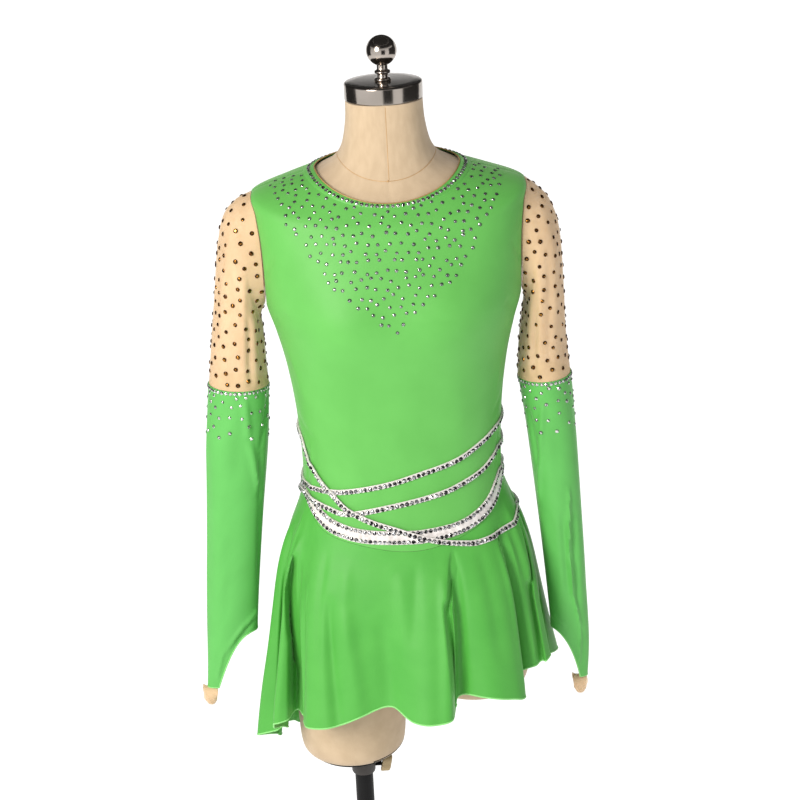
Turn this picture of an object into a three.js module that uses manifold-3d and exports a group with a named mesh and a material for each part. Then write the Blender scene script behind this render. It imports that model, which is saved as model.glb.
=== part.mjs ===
// Figure skating dress on a limbless dress form with a pole stand.
// Millimetres, +Z up. The dress faces -Y, and +X is the wearer's left.
// The origin is on the floor, on the flat underside of the base, under the middle line of the figure.
// Angles round the figure are in degrees from the middle of the front towards +X.
import * as THREE from 'three';
import { mergeVertices } from 'three/addons/utils/BufferGeometryUtils.js';
import Module from 'manifold-3d';

const wasm = await Module();
wasm.setup();

// Cloth and seams
const CLOTH = 1.2;
const SEAM_GAP = 0.36;
const EASE = 1.6;
const STRIP_THICK = 1.0;
const STRIP_GAP = 0.8;
const STRIP_LIFT = 1.7;

// Mesh fineness
const FIGURE_COLUMNS = 40;
const BODICE_LOW_ROWS = 9;
const SLEEVE_COLUMNS = 20;
const SKIRT_COLUMNS = 88;
const SKIRT_ROWS = 6;

// Outer face of the dressed figure, from the thighs to the top of the neck, as closed rings.
// side is the height at the two sides; front and back are how far the ring reaches and the height there.
const FIGURE = [
  { side: 694, half: 128, sideY: 3, front: 74, frontZ: 694, back: 84, backZ: 694 },
  { side: 716, half: 146, sideY: 3, front: 94, frontZ: 716, back: 106, backZ: 716 },
  { side: 778, half: 152, sideY: 3, front: 103, frontZ: 778, back: 116, backZ: 778 },
  { side: 850, half: 143, sideY: 2, front: 100, frontZ: 850, back: 107, backZ: 850 },
  { side: 910, half: 124, sideY: 1, front: 92, frontZ: 910, back: 92, backZ: 910 },
  { side: 962, half: 117, sideY: 0, front: 86, frontZ: 962, back: 84, backZ: 962 },
  { side: 1035, half: 120, sideY: 0, front: 91, frontZ: 1035, back: 90, backZ: 1035 },
  { side: 1095, half: 128, sideY: 0, front: 99, frontZ: 1095, back: 98, backZ: 1095 },
  { side: 1138, half: 138, sideY: 1, front: 104, frontZ: 1138, back: 104, backZ: 1138 },
  { side: 1168, half: 147, sideY: 2, front: 105, frontZ: 1168, back: 107, backZ: 1168 },
  { side: 1206, half: 153, sideY: 4, front: 103, frontZ: 1198, back: 107, backZ: 1202 },
  { side: 1246, half: 156.5, sideY: 6, front: 98, frontZ: 1227, back: 104, backZ: 1238 },
  { side: 1280, half: 158.5, sideY: 8, front: 91, frontZ: 1251, back: 97, backZ: 1270 },
  { side: 1298, half: 156, sideY: 9, front: 85, frontZ: 1268, back: 89, backZ: 1293 },
  { side: 1311, half: 122, sideY: 10, front: 77, frontZ: 1281, back: 79, backZ: 1312 },
  { side: 1322, half: 84, sideY: 10, front: 68, frontZ: 1294, back: 66, backZ: 1330 },
  { side: 1331, half: 66, sideY: 8, front: 60, frontZ: 1307, back: 57, backZ: 1342 },
  { side: 1347, half: 54, sideY: 4, front: 52, frontZ: 1329, back: 51, backZ: 1357 },
  { side: 1374, half: 48, sideY: 2, front: 47.5, frontZ: 1369, back: 47.5, backZ: 1378 },
  { side: 1400, half: 46.5, sideY: 0, front: 46.5, frontZ: 1400, back: 46.5, backZ: 1400 },
];
const WAIST_RING = 5;
const ARMPIT_RING = 9;
const SHOULDER_RING = 13;
const NECKLINE_RING = 15;
const NECK_TOP_RING = 19;
const SQUARENESS = 0.025;

// The bust of a general figure: two soft rises on the front
const BUST = { x: 64, z: 1160, out: 15, wide: 56, tall: 50 };

// The armhole, as a round hole in the figure's side between the armpit and the shoulder point
const ARMHOLE = { front: 21, back: 25 };

// Where the skirt is sewn on, and the hem: heights round the figure
const WAIST_SEAM = [
  { angle: -180, z: 914 }, { angle: -130, z: 930 }, { angle: -90, z: 941 }, { angle: -70, z: 931 },
  { angle: -48, z: 908 }, { angle: -25, z: 896 }, { angle: 3, z: 887 }, { angle: 27, z: 898 },
  { angle: 50, z: 916 }, { angle: 70, z: 937 }, { angle: 90, z: 943 }, { angle: 130, z: 931 },
];
const HEM = [
  { angle: -180, z: 640 }, { angle: -150, z: 602 }, { angle: -120, z: 590 }, { angle: -92, z: 616 },
  { angle: -78, z: 637 }, { angle: -62, z: 667 }, { angle: -50, z: 680 }, { angle: -42, z: 680 },
  { angle: -29, z: 686 }, { angle: -20, z: 697 }, { angle: -9, z: 707 }, { angle: -1, z: 695 },
  { angle: 12, z: 698 }, { angle: 17, z: 715 }, { angle: 24, z: 715 }, { angle: 34, z: 708 },
  { angle: 44, z: 702 }, { angle: 49, z: 720 }, { angle: 57, z: 730 }, { angle: 66, z: 732 },
  { angle: 84, z: 710 }, { angle: 102, z: 698 }, { angle: 135, z: 684 },
];

// How far the skirt stands out from the waist seam at each drop below it
const SKIRT_SPREAD = [
  { drop: 0, out: 0 }, { drop: 20, out: 6 }, { drop: 42, out: 14 }, { drop: 68, out: 21 }, { drop: 100, out: 26 },
  { drop: 150, out: 30 }, { drop: 200, out: 34 }, { drop: 260, out: 40 }, { drop: 350, out: 47 },
];

// The skirt's flutes: each ridge's angle, how far it stands out at the hem, and its half widths on either side
const FLUTES = [
  { angle: -86, out: 28, before: 15, after: 12 },
  { angle: -60, out: 25, before: 10, after: 9 },
  { angle: -33, out: 28, before: 12, after: 14 },
  { angle: 5.5, out: 37, before: 11, after: 9 },
  { angle: 35, out: 34, before: 13, after: 10 },
  { angle: 61, out: 27, before: 10, after: 12 },
  { angle: 104, out: 26, before: 16, after: 12 },
  { angle: 134, out: 31, before: 11, after: 10 },
  { angle: 160, out: 26, before: 10, after: 12 },
  { angle: -172, out: 32, before: 12, after: 9 },
  { angle: -146, out: 27, before: 10, after: 12 },
  { angle: -118, out: 31, before: 13, after: 9 },
];
const FLUTE_GROWTH = 1.35;

// The sleeves, one table for each arm. An upper ring has an outer and an inner point across the arm;
// x is measured out from the middle line, y is the arm's middle and deep is half its depth.
const SLEEVES = {
  right: {
    side: -1,
    upper: [
      { outX: 174, outZ: 1289, inX: 155, inZ: 1152, y: 9, deep: 46 },
      { outX: 190, outZ: 1270, inX: 154, inZ: 1142, y: 9, deep: 47 },
      { outX: 199, outZ: 1233, inX: 153, inZ: 1130, y: 9, deep: 46 },
      { outX: 207, outZ: 1172, inX: 152.5, inZ: 1110, y: 9, deep: 42 },
      { outX: 214, outZ: 1120, inX: 152, inZ: 1090, y: 9, deep: 38 },
      { outX: 220, outZ: 1072, inX: 151, inZ: 1068, y: 10, deep: 36 },
    ],
    lower: [
      { z: 1070, outX: 221, inX: 151, y: 10, deep: 36 },
      { z: 1000, outX: 228, inX: 156, y: 8, deep: 34 },
      { z: 900, outX: 235, inX: 169, y: 5, deep: 29 },
      { z: 800, outX: 242, inX: 180.5, y: 2, deep: 23 },
      { z: 725, outX: 246, inX: 187, y: 0, deep: 15 },
      { z: 685, outX: 249, inX: 190, y: 0, deep: 9 },
    ],
    cuffHigh: 762, cuffLow: 688, cuffCurve: 2.4, loopX: 246,
  },
  left: {
    side: 1,
    upper: [
      { outX: 169, outZ: 1287, inX: 153, inZ: 1152, y: 9, deep: 46 },
      { outX: 184, outZ: 1269, inX: 150, inZ: 1141, y: 9, deep: 47 },
      { outX: 194, outZ: 1234, inX: 147, inZ: 1128, y: 9, deep: 46 },
      { outX: 197, outZ: 1170, inX: 144, inZ: 1105, y: 9, deep: 43 },
      { outX: 198, outZ: 1115, inX: 142, inZ: 1084, y: 9, deep: 40 },
      { outX: 202, outZ: 1063, inX: 141, inZ: 1060, y: 10, deep: 38 },
    ],
    lower: [
      { z: 1061, outX: 203, inX: 141, y: 10, deep: 38 },
      { z: 1000, outX: 206, inX: 149, y: 9, deep: 35 },
      { z: 900, outX: 209.5, inX: 158.5, y: 6, deep: 30 },
      { z: 800, outX: 213, inX: 166.5, y: 3, deep: 24 },
      { z: 725, outX: 215, inX: 171, y: 1, deep: 16 },
      { z: 672, outX: 212, inX: 172, y: 0, deep: 9 },
    ],
    cuffHigh: 742, cuffLow: 675, cuffCurve: 1.9, loopX: 203,
  },
};
const ARMHOLE_SHRINK = 0.02;
const ARMPIT_CLEAR = 1.3;
const CUFF_POINT_SHARE = 0.23;
const UPPER_SLEEVE_ROWS = 9;
const LOWER_SLEEVE_ROWS = 8;
const LOOP = { drop: 24, half: 8, pinch: 0.3, wide: 18, taper: 0.2, thick: 1.2, steps: 16 };

// The stone-set strips round the waist: the angle and height of the middle of each, and how far it is lifted
// to pass over another strip (1 is one layer)
const STRIPS = {
  band_upper: [
    { angle: -179.6, z: 966, wide: 6.3, lift: 0 }, { angle: -120, z: 957, wide: 6.3, lift: 0 },
    { angle: -80, z: 953, wide: 6.3, lift: 0 }, { angle: -46, z: 955, wide: 6.3, lift: 0 },
    { angle: -31, z: 958, wide: 6.3, lift: 0 }, { angle: -9, z: 967, wide: 6.3, lift: 0 },
    { angle: 10, z: 979, wide: 6.3, lift: 0 }, { angle: 29, z: 990, wide: 6.3, lift: 0 },
    { angle: 48, z: 1005, wide: 6.3, lift: 0 }, { angle: 70, z: 1017, wide: 6.3, lift: 0 },
    { angle: 110, z: 1022, wide: 6.3, lift: 0 }, { angle: 179.6, z: 1020, wide: 6.3, lift: 0 },
  ],
  band_middle: [
    { angle: -179.6, z: 898, wide: 6.3, lift: 0 }, { angle: -160, z: 903, wide: 6.3, lift: 1 },
    { angle: -120, z: 926, wide: 6.3, lift: 1 }, { angle: -77, z: 942, wide: 6.3, lift: 1 },
    { angle: -58, z: 939, wide: 6.3, lift: 1 }, { angle: -46, z: 935, wide: 6.3, lift: 0 },
    { angle: -31, z: 931, wide: 6.3, lift: 0 }, { angle: -8, z: 940, wide: 6.3, lift: 0 },
    { angle: 19, z: 952, wide: 6.3, lift: 0 }, { angle: 32, z: 960, wide: 6.3, lift: 0 },
    { angle: 49, z: 971, wide: 6.3, lift: 0 }, { angle: 73, z: 988, wide: 6.3, lift: 0 },
    { angle: 110, z: 990, wide: 6.3, lift: 0 }, { angle: 150, z: 975, wide: 6.3, lift: 0 },
    { angle: 179.6, z: 966, wide: 6.3, lift: 0 },
  ],
  band_cross: [
    { angle: -179.6, z: 1020, wide: 6.3, lift: 0 }, { angle: -120, z: 1019, wide: 6.3, lift: 0 },
    { angle: -79, z: 1013, wide: 6.3, lift: 0 }, { angle: -66, z: 992, wide: 6.3, lift: 1 },
    { angle: -52, z: 967, wide: 6.3, lift: 1 }, { angle: -41, z: 951, wide: 6.3, lift: 1 },
    { angle: -32, z: 937, wide: 6.3, lift: 1 }, { angle: -19, z: 924, wide: 6.3, lift: 1 },
    { angle: -6, z: 914, wide: 6.3, lift: 1 }, { angle: 4, z: 905, wide: 6.3, lift: 1 },
    { angle: 14, z: 897, wide: 6.3, lift: 1 }, { angle: 26, z: 891, wide: 6.3, lift: 0.6 },
    { angle: 38, z: 889, wide: 6.3, lift: 0 }, { angle: 64, z: 895, wide: 6.3, lift: 0 },
    { angle: 82, z: 902, wide: 6.3, lift: 0 }, { angle: 130, z: 902, wide: 6.3, lift: 0 },
    { angle: 179.6, z: 898, wide: 6.3, lift: 0 },
  ],
  band_wide_right: [
    { angle: -179.3, z: 928, wide: 10, lift: 0 }, { angle: -160, z: 931, wide: 10, lift: 0 },
    { angle: -120, z: 943, wide: 8, lift: 0 }, { angle: -90, z: 945.5, wide: 7, lift: 0 },
    { angle: -72, z: 942, wide: 10, lift: 0 }, { angle: -57, z: 929, wide: 15, lift: 0 },
    { angle: -44, z: 917, wide: 16, lift: 0 }, { angle: -30, z: 909, wide: 16, lift: 0 },
    { angle: -16, z: 905, wide: 16, lift: 0 }, { angle: 5.2, z: 903.5, wide: 16, lift: 0 },
  ],
  band_wide_left: [
    { angle: 6.8, z: 903.5, wide: 16, lift: 0 }, { angle: 24, z: 908, wide: 15, lift: 0 },
    { angle: 38, z: 916, wide: 15, lift: 0 }, { angle: 53, z: 929, wide: 17, lift: 0 },
    { angle: 64, z: 943, wide: 19, lift: 0 }, { angle: 74, z: 954, wide: 18, lift: 0 },
    { angle: 90, z: 957, wide: 14, lift: 0 }, { angle: 130, z: 944, wide: 10, lift: 0 },
    { angle: 160, z: 931, wide: 10, lift: 0 }, { angle: 179.3, z: 928, wide: 10, lift: 0 },
  ],
};
const STRIP_STEP = 6;
const NECK_EDGE = { share: 0.42, thick: 1.0, gap: 0.6 };

// The form's two short legs: the right one holds the pole
const LEG_X = 76;
const LEG_Y = 2;
const RIGHT_LEG = [
  { z: 770, half: 60, deep: 66 }, { z: 700, half: 66, deep: 75 }, { z: 640, half: 65, deep: 73 },
  { z: 612, half: 63, deep: 70.5 }, { z: 602, half: 59, deep: 66.5 }, { z: 598, half: 53, deep: 60 },
];
const LEFT_LEG = [
  { z: 770, half: 60, deep: 66 }, { z: 710, half: 66, deep: 75 }, { z: 692, half: 64.5, deep: 73 },
  { z: 680, half: 59, deep: 67 }, { z: 675, half: 50, deep: 58 },
];
const LEG_SIDES = 24;

// Stand and metalwork
const POLE = { x: -66, radius: 11, bottom: 6.3, top: 890 };
const RUNNING = 0.4;
const BORE_TOP = 1105;
const ROUND_SIDES = 24;
const PLATE = { half: 51, deep: 58, thick: 3 };
const COLLAR = { top: 594.4, bottom: 561 };
const SCREW = { z: 570, radius: 3, knobStart: -43.4, knobEnd: -32, knobRadius: 8.5 };
const BASE = { radius: 165, hub: 22 };
const CAP = { radius: 44.5, bottom: 1400.4, top: 1420 };
const BALL = { z: 1454, radius: 17.4 };

const FORM_Z = FIGURE[NECK_TOP_RING].side;

// Colours seen on the object
const green = new THREE.MeshStandardMaterial({ color: '#73d765', roughness: 0.6, metalness: 0, side: THREE.DoubleSide });
const nudeMesh = new THREE.MeshStandardMaterial({ color: '#efcd9f', roughness: 0.7, metalness: 0, side: THREE.DoubleSide });
const silver = new THREE.MeshStandardMaterial({ color: '#e6e4e2', roughness: 0.35, metalness: 0.2 });
const cream = new THREE.MeshStandardMaterial({ color: '#e9d0ad', roughness: 0.85, metalness: 0 });
const chrome = new THREE.MeshStandardMaterial({ color: '#c9cacd', roughness: 0.1, metalness: 1 });
const black = new THREE.MeshStandardMaterial({ color: '#1b1b1d', roughness: 0.4, metalness: 0.3 });
const grey = new THREE.MeshStandardMaterial({ color: '#8c8f92', roughness: 0.4, metalness: 0.6 });
const beige = new THREE.MeshStandardMaterial({ color: '#d8c3a2', roughness: 0.5, metalness: 0 });

const RAD = Math.PI / 180;
const clamp = (x, low, high) => Math.min(Math.max(x, low), high);
const mix = (a, b, t) => a + (b - a) * t;

// A smooth curve through four evenly spaced values, between the middle two
function smooth(a, b, c, d, t) {
  return b + 0.5 * t * (c - a + t * (2 * a - 5 * b + 4 * c - d + t * (3 * (b - c) + d - a)));
}

// One column of a table, read smoothly at a fractional row
function atRow(table, column, row) {
  const i = clamp(Math.floor(row), 0, table.length - 2);
  const value = (k) => table[clamp(k, 0, table.length - 1)][column];
  return smooth(value(i - 1), value(i), value(i + 1), value(i + 2), row - i);
}

// The fractional row at which a column of a table reaches a value, the column rising or falling all the way
function rowOf(table, column, value) {
  const rising = table[table.length - 1][column] > table[0][column];
  let low = 0;
  let high = table.length - 1;
  for (let step = 0; step < 40; step++) {
    const middle = (low + high) / 2;
    if (atRow(table, column, middle) < value === rising) low = middle;
    else high = middle;
  }
  return (low + high) / 2;
}

// A closed curve of heights round the figure, through unevenly spaced angles
function roundHeight(table, angle) {
  const n = table.length;
  const a = ((((angle + 180) % 360) + 360) % 360) - 180;
  let i = n - 1;
  for (let k = 0; k < n - 1; k++) if (a >= table[k].angle && a < table[k + 1].angle) i = k;
  const at = (k) => table[(k + n) % n].angle + 360 * Math.floor(k / n);
  const z = (k) => table[(k + n) % n].z;
  const slope = (k) => (z(k + 1) - z(k - 1)) / (at(k + 1) - at(k - 1));
  const span = at(i + 1) - at(i);
  const t = (a - at(i)) / span;
  const h = t * t * (3 - 2 * t);
  return z(i) * (1 - h) + z(i + 1) * h
    + span * (slope(i) * t * (1 - t) * (1 - t) - slope(i + 1) * t * t * (1 - t));
}

// The waist seam's height, straight between the bodice's columns so that bodice and skirt meet evenly
function seamHeight(angle) {
  const step = 360 / FIGURE_COLUMNS;
  const low = Math.floor(angle / step) * step;
  return mix(roundHeight(WAIST_SEAM, low), roundHeight(WAIST_SEAM, low + step), (angle - low) / step);
}

// A point on the outer face of the dressed figure
function figurePoint(angle, ring) {
  const read = (column) => atRow(FIGURE, column, ring);
  const a = angle * RAD;
  const across = (Math.sin(a) + SQUARENESS * Math.sin(3 * a)) / (1 - SQUARENESS);
  const along = (Math.cos(a) - SQUARENESS * Math.cos(3 * a)) / (1 - SQUARENESS);
  const forward = along > 0;
  const reach = forward ? read('front') : read('back');
  const end = forward ? read('frontZ') : read('backZ');
  const side = read('side');
  const x = read('half') * across;
  const z = mix(side, end, Math.cos(a) ** 2);
  const sideY = read('sideY');
  let y = sideY - along * (forward ? reach + sideY : reach - sideY);
  if (forward) {
    const rise = (bx) => Math.exp(-(((x - bx) / BUST.wide) ** 2) - ((z - BUST.z) / BUST.tall) ** 2);
    y -= BUST.out * along ** 0.5 * (rise(BUST.x) + rise(-BUST.x));
  }
  return new THREE.Vector3(x, y, z);
}

// The outward direction of a surface given as a function of two values, u running to the left of v
function outward(surface, u, v, stepU, stepV) {
  const du = surface(u + stepU, v).sub(surface(u - stepU, v));
  const dv = surface(u, v + stepV).sub(surface(u, v - stepV));
  return du.cross(dv).normalize();
}

const figureRing = (z) => rowOf(FIGURE, 'side', z);

function figureOffset(angle, ring, out) {
  const top = Math.min(ring, FIGURE.length - 1.01);
  const normal = outward(figurePoint, angle, Math.max(top, 0.01), 0.5, 0.01);
  return figurePoint(angle, ring).addScaledVector(normal, out);
}

// A point on the outer face of the skirt; share runs from the waist seam to the hem
function skirtPoint(angle, share) {
  const top = seamHeight(angle);
  const hem = roundHeight(HEM, angle);
  const drop = (top - hem) * share;
  const start = figurePoint(angle, figureRing(top));
  let out = atRow(SKIRT_SPREAD, 'out', rowOf(SKIRT_SPREAD, 'drop', Math.max(drop, 0)));
  if (Math.abs(angle) > 90) out *= 1 + 0.1 * Math.sin((Math.abs(angle) - 90) * RAD);
  for (const flute of FLUTES) {
    const turn = ((((angle - flute.angle + 180) % 360) + 360) % 360) - 180;
    const width = turn < 0 ? flute.before : flute.after;
    out += flute.out * Math.max(share, 0) ** FLUTE_GROWTH * Math.exp(-((turn / width) ** 2));
  }
  const a = angle * RAD;
  return new THREE.Vector3(start.x + out * Math.sin(a), start.y - out * Math.cos(a) * 0.88, top - drop);
}

function skirtOffset(angle, share, out) {
  const normal = outward((u, v) => skirtPoint(u, -v), angle, -share, 0.4, 0.01);
  return skirtPoint(angle, share).addScaledVector(normal, out);
}

// Any point on the outside of the dress near the waist, moved out by a distance
function waistOffset(angle, z, out) {
  const seam = seamHeight(angle);
  if (z >= seam) return figureOffset(angle, figureRing(z), out);
  return skirtOffset(angle, (seam - z) / (seam - roundHeight(HEM, angle)), out);
}

// The edge of an armhole, from the shoulder point (turn 0) by the front (90) and the armpit (180)
function armholeEdge(turn, side, shrink) {
  const t = turn * RAD;
  const reach = Math.sin(t) > 0 ? ARMHOLE.front : -ARMHOLE.back;
  const angle = 90 - reach * Math.abs(Math.sin(t)) * (1 - shrink);
  return { angle: side * angle, ring: ARMHOLE_MIDDLE + ARMHOLE_TALL * Math.cos(t) * (1 - shrink) };
}

// A closed body from rows of points: an outer and an inner face with edges between them.
// round is true where each row closes on itself.
function wall(outer, inner, round) {
  const rows = outer.length;
  const columns = outer[0].length;
  const positions = [];
  for (const grid of [outer, inner]) for (const row of grid) for (const p of row) positions.push(p.x, p.y, p.z);
  const index = [];
  const at = (face, r, c) => (face * rows + r) * columns + (c % columns);
  const quad = (a, b, c, d) => index.push(a, b, c, a, c, d);
  const lastColumn = round ? columns : columns - 1;
  for (let r = 0; r < rows - 1; r++) {
    for (let c = 0; c < lastColumn; c++) {
      quad(at(0, r, c), at(0, r, c + 1), at(0, r + 1, c + 1), at(0, r + 1, c));
      quad(at(1, r, c), at(1, r + 1, c), at(1, r + 1, c + 1), at(1, r, c + 1));
    }
    if (!round) {
      quad(at(0, r, 0), at(0, r + 1, 0), at(1, r + 1, 0), at(1, r, 0));
      quad(at(0, r, columns - 1), at(1, r, columns - 1), at(1, r + 1, columns - 1), at(0, r + 1, columns - 1));
    }
  }
  for (let c = 0; c < lastColumn; c++) {
    quad(at(0, 0, c), at(1, 0, c), at(1, 0, c + 1), at(0, 0, c + 1));
    quad(at(0, rows - 1, c), at(0, rows - 1, c + 1), at(1, rows - 1, c + 1), at(1, rows - 1, c));
  }
  return closedBody(positions, index);
}

// A closed body from rings stacked upwards, with its two ends filled
function stack(rings) {
  const columns = rings[0].length;
  const positions = [];
  const index = [];
  for (const ring of rings) for (const p of ring) positions.push(p.x, p.y, p.z);
  for (let r = 0; r < rings.length - 1; r++) {
    for (let c = 0; c < columns; c++) {
      const d = (c + 1) % columns;
      const low = r * columns;
      const high = low + columns;
      index.push(low + c, low + d, high + d, low + c, high + d, high + c);
    }
  }
  const top = (rings.length - 1) * columns;
  for (let c = 1; c < columns - 1; c++) {
    index.push(0, c + 1, c);
    index.push(top, top + c, top + c + 1);
  }
  return closedBody(positions, index);
}

// A geometry with its faces turned out
function closedBody(positions, index) {
  let volume = 0;
  const p = (i) => new THREE.Vector3(positions[3 * i], positions[3 * i + 1], positions[3 * i + 2]);
  for (let i = 0; i < index.length; i += 3) volume += p(index[i]).dot(p(index[i + 1]).cross(p(index[i + 2])));
  if (volume < 0) for (let i = 0; i < index.length; i += 3) [index[i], index[i + 1]] = [index[i + 1], index[i]];
  const geometry = new THREE.BufferGeometry();
  geometry.setAttribute('position', new THREE.Float32BufferAttribute(positions, 3));
  geometry.setIndex(index);
  return geometry;
}

function solid(geometry) {
  const bare = geometry.clone();
  bare.deleteAttribute('normal');
  bare.deleteAttribute('uv');
  const merged = mergeVertices(bare, 1e-4);
  return new wasm.Manifold(new wasm.Mesh({
    numProp: 3,
    vertProperties: new Float32Array(merged.attributes.position.array),
    triVerts: new Uint32Array(merged.index.array),
  }));
}

function fromSolid(body) {
  const mesh = body.getMesh();
  const geometry = new THREE.BufferGeometry();
  geometry.setAttribute('position', new THREE.BufferAttribute(new Float32Array(mesh.vertProperties), 3));
  geometry.setIndex(new THREE.BufferAttribute(new Uint32Array(mesh.triVerts), 1));
  return geometry;
}

// A round body about a vertical axis, from radius and height pairs
function turned(profile, x, y, sides = ROUND_SIDES) {
  const lathe = new THREE.LatheGeometry(profile.map(([r, z]) => new THREE.Vector2(r, z)), sides);
  lathe.rotateX(Math.PI / 2);
  lathe.translate(x, y, 0);
  return lathe;
}

// A plain rod between two points
function rod(from, to, radius, sides = ROUND_SIDES) {
  const cylinder = new THREE.CylinderGeometry(radius, radius, from.distanceTo(to), sides);
  cylinder.applyQuaternion(new THREE.Quaternion().setFromUnitVectors(
    new THREE.Vector3(0, 1, 0), to.clone().sub(from).normalize()));
  const middle = from.clone().add(to).multiplyScalar(0.5);
  cylinder.translate(middle.x, middle.y, middle.z);
  return cylinder;
}

const dress = new THREE.Group();

function add(name, geometry, material) {
  const mesh = new THREE.Mesh(geometry, material);
  mesh.name = name;
  dress.add(mesh);
}

// Rows of the chest: level with the columns of the sleeve up the armhole, then over the shoulder
const ARMHOLE_MIDDLE = (ARMPIT_RING + SHOULDER_RING) / 2;
const ARMHOLE_TALL = (SHOULDER_RING - ARMPIT_RING) / 2;
const CHEST_RINGS = Array.from({ length: SLEEVE_COLUMNS / 2 + 1 }, (_, i) =>
  ARMHOLE_MIDDLE - ARMHOLE_TALL * Math.cos((2 * Math.PI * i) / SLEEVE_COLUMNS));
CHEST_RINGS.push(SHOULDER_RING + 0.5, SHOULDER_RING + 1, NECKLINE_RING);

// Bodice: the front and the back meet at the side seams and along the shoulders
function bodicePanel(middle, sign) {
  const outer = [];
  const inner = [];
  const columns = FIGURE_COLUMNS / 2;
  const seamTurn = SEAM_GAP / 2 / FIGURE[WAIST_RING].half / RAD;
  for (let r = 0; r < BODICE_LOW_ROWS + CHEST_RINGS.length; r++) {
    const rowOuter = [];
    const rowInner = [];
    for (let c = 0; c <= columns; c++) {
      const across = (2 * c) / columns - 1;
      const rough = middle + 90 * across * sign;
      const bottom = figureRing(seamHeight(rough) + SEAM_GAP / 2);
      const low = mix(bottom, ARMPIT_RING, (r / BODICE_LOW_ROWS) ** 1.35);
      const ring = r < BODICE_LOW_ROWS ? low : CHEST_RINGS[r - BODICE_LOW_ROWS];
      const fromMiddle = (ring - ARMHOLE_MIDDLE) / ARMHOLE_TALL;
      const open = Math.abs(fromMiddle) < 1 ? Math.sqrt(1 - fromMiddle ** 2) : 0;
      const reach = (sign > 0 ? ARMHOLE.front : ARMHOLE.back) * open;
      const angle = middle + across * sign * (90 - seamTurn - reach);
      rowOuter.push(figureOffset(angle, ring, 0));
      rowInner.push(figureOffset(angle, ring, -CLOTH));
    }
    outer.push(rowOuter);
    inner.push(rowInner);
  }
  return wall(outer, inner, false);
}
add('bodice_front', bodicePanel(0, 1), green);
add('bodice_back', bodicePanel(180, -1), green);

// Neck edge: a narrow binding on the neckline
{
  const outer = [];
  const inner = [];
  for (const share of [NECK_EDGE.share, 0]) {
    const ring = NECKLINE_RING - share;
    const rowOuter = [];
    const rowInner = [];
    for (let c = 0; c < FIGURE_COLUMNS; c++) {
      const angle = (360 * c) / FIGURE_COLUMNS - 180;
      rowOuter.push(figureOffset(angle, ring, NECK_EDGE.gap + NECK_EDGE.thick));
      rowInner.push(figureOffset(angle, ring, NECK_EDGE.gap));
    }
    outer.push(rowOuter);
    inner.push(rowInner);
  }
  add('neck_binding', wall(outer, inner, true), silver);
}

// Upper sleeve: from the armhole to the elbow. turn is 0 on the outside of the arm and 90 at the front.
function upperSleevePoint(arm, turn, row) {
  const t = turn * RAD;
  const ringPoint = (k) => {
    if (k <= 0) {
      const edge = armholeEdge(turn, arm.side, ARMHOLE_SHRINK);
      const start = figureOffset(edge.angle, edge.ring, mix(ARMPIT_CLEAR, -CLOTH / 2, 0.5 + 0.5 * Math.cos(t)));
      if (k === 0) return start;
      return start.multiplyScalar(2).sub(ringPoint(1));
    }
    const r = arm.upper[Math.min(k, arm.upper.length) - 1];
    const x = mix(r.inX, r.outX, 0.5 + 0.5 * Math.cos(t));
    const z = mix(r.inZ, r.outZ, 0.5 + 0.5 * Math.cos(t));
    return new THREE.Vector3(arm.side * x, r.y - r.deep * Math.sin(t), z);
  };
  const i = clamp(Math.floor(row), 0, arm.upper.length - 1);
  const [a, b, c, d] = [i - 1, i, i + 1, i + 2].map(ringPoint);
  const f = row - i;
  return new THREE.Vector3(smooth(a.x, b.x, c.x, d.x, f), smooth(a.y, b.y, c.y, d.y, f), smooth(a.z, b.z, c.z, d.z, f));
}

// Height of the slanted cuff's edge
function cuffEdge(arm, turn) {
  const fromOutside = 0.5 - 0.5 * Math.cos(turn * RAD);
  const share = clamp((1 - fromOutside) / (1 - CUFF_POINT_SHARE), 0, 1) ** arm.cuffCurve;
  return mix(arm.cuffHigh, arm.cuffLow, share);
}

// Lower sleeve: from the elbow to the slanted cuff; share runs from the seam to the edge
function lowerSleevePoint(arm, turn, share) {
  const t = turn * RAD;
  const seam = arm.upper[arm.upper.length - 1];
  const across = 0.5 + 0.5 * Math.cos(t);
  const top = mix(seam.inZ, seam.outZ, across) - SEAM_GAP;
  const z = mix(top, cuffEdge(arm, turn), share);
  const row = rowOf(arm.lower, 'z', z);
  const read = (column) => atRow(arm.lower, column, row);
  const x = mix(read('inX'), read('outX'), across);
  return new THREE.Vector3(arm.side * x, read('y') - read('deep') * Math.sin(t), z);
}

// A tube of cloth from a surface given by a turn and a value that runs from the first row to the last
function clothTube(surface, values) {
  const outer = [];
  const inner = [];
  for (const v of values) {
    const rowOuter = [];
    const rowInner = [];
    for (let c = 0; c < SLEEVE_COLUMNS; c++) {
      const turn = (360 * c) / SLEEVE_COLUMNS;
      const p = surface(turn, v);
      const low = Math.max(v - 0.01, values[0]);
      const high = Math.min(v + 0.01, values[values.length - 1]);
      const du = surface(turn + 1, v).sub(surface(turn - 1, v));
      const dv = surface(turn, high).sub(surface(turn, low));
      const normal = du.cross(dv).normalize();
      rowOuter.push(p.clone().addScaledVector(normal, CLOTH / 2));
      rowInner.push(p.clone().addScaledVector(normal, -CLOTH / 2));
    }
    outer.push(rowOuter);
    inner.push(rowInner);
  }
  return wall(outer, inner, true);
}

const steps = (count, end) => Array.from({ length: count + 1 }, (_, i) => (end * i) / count);

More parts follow.
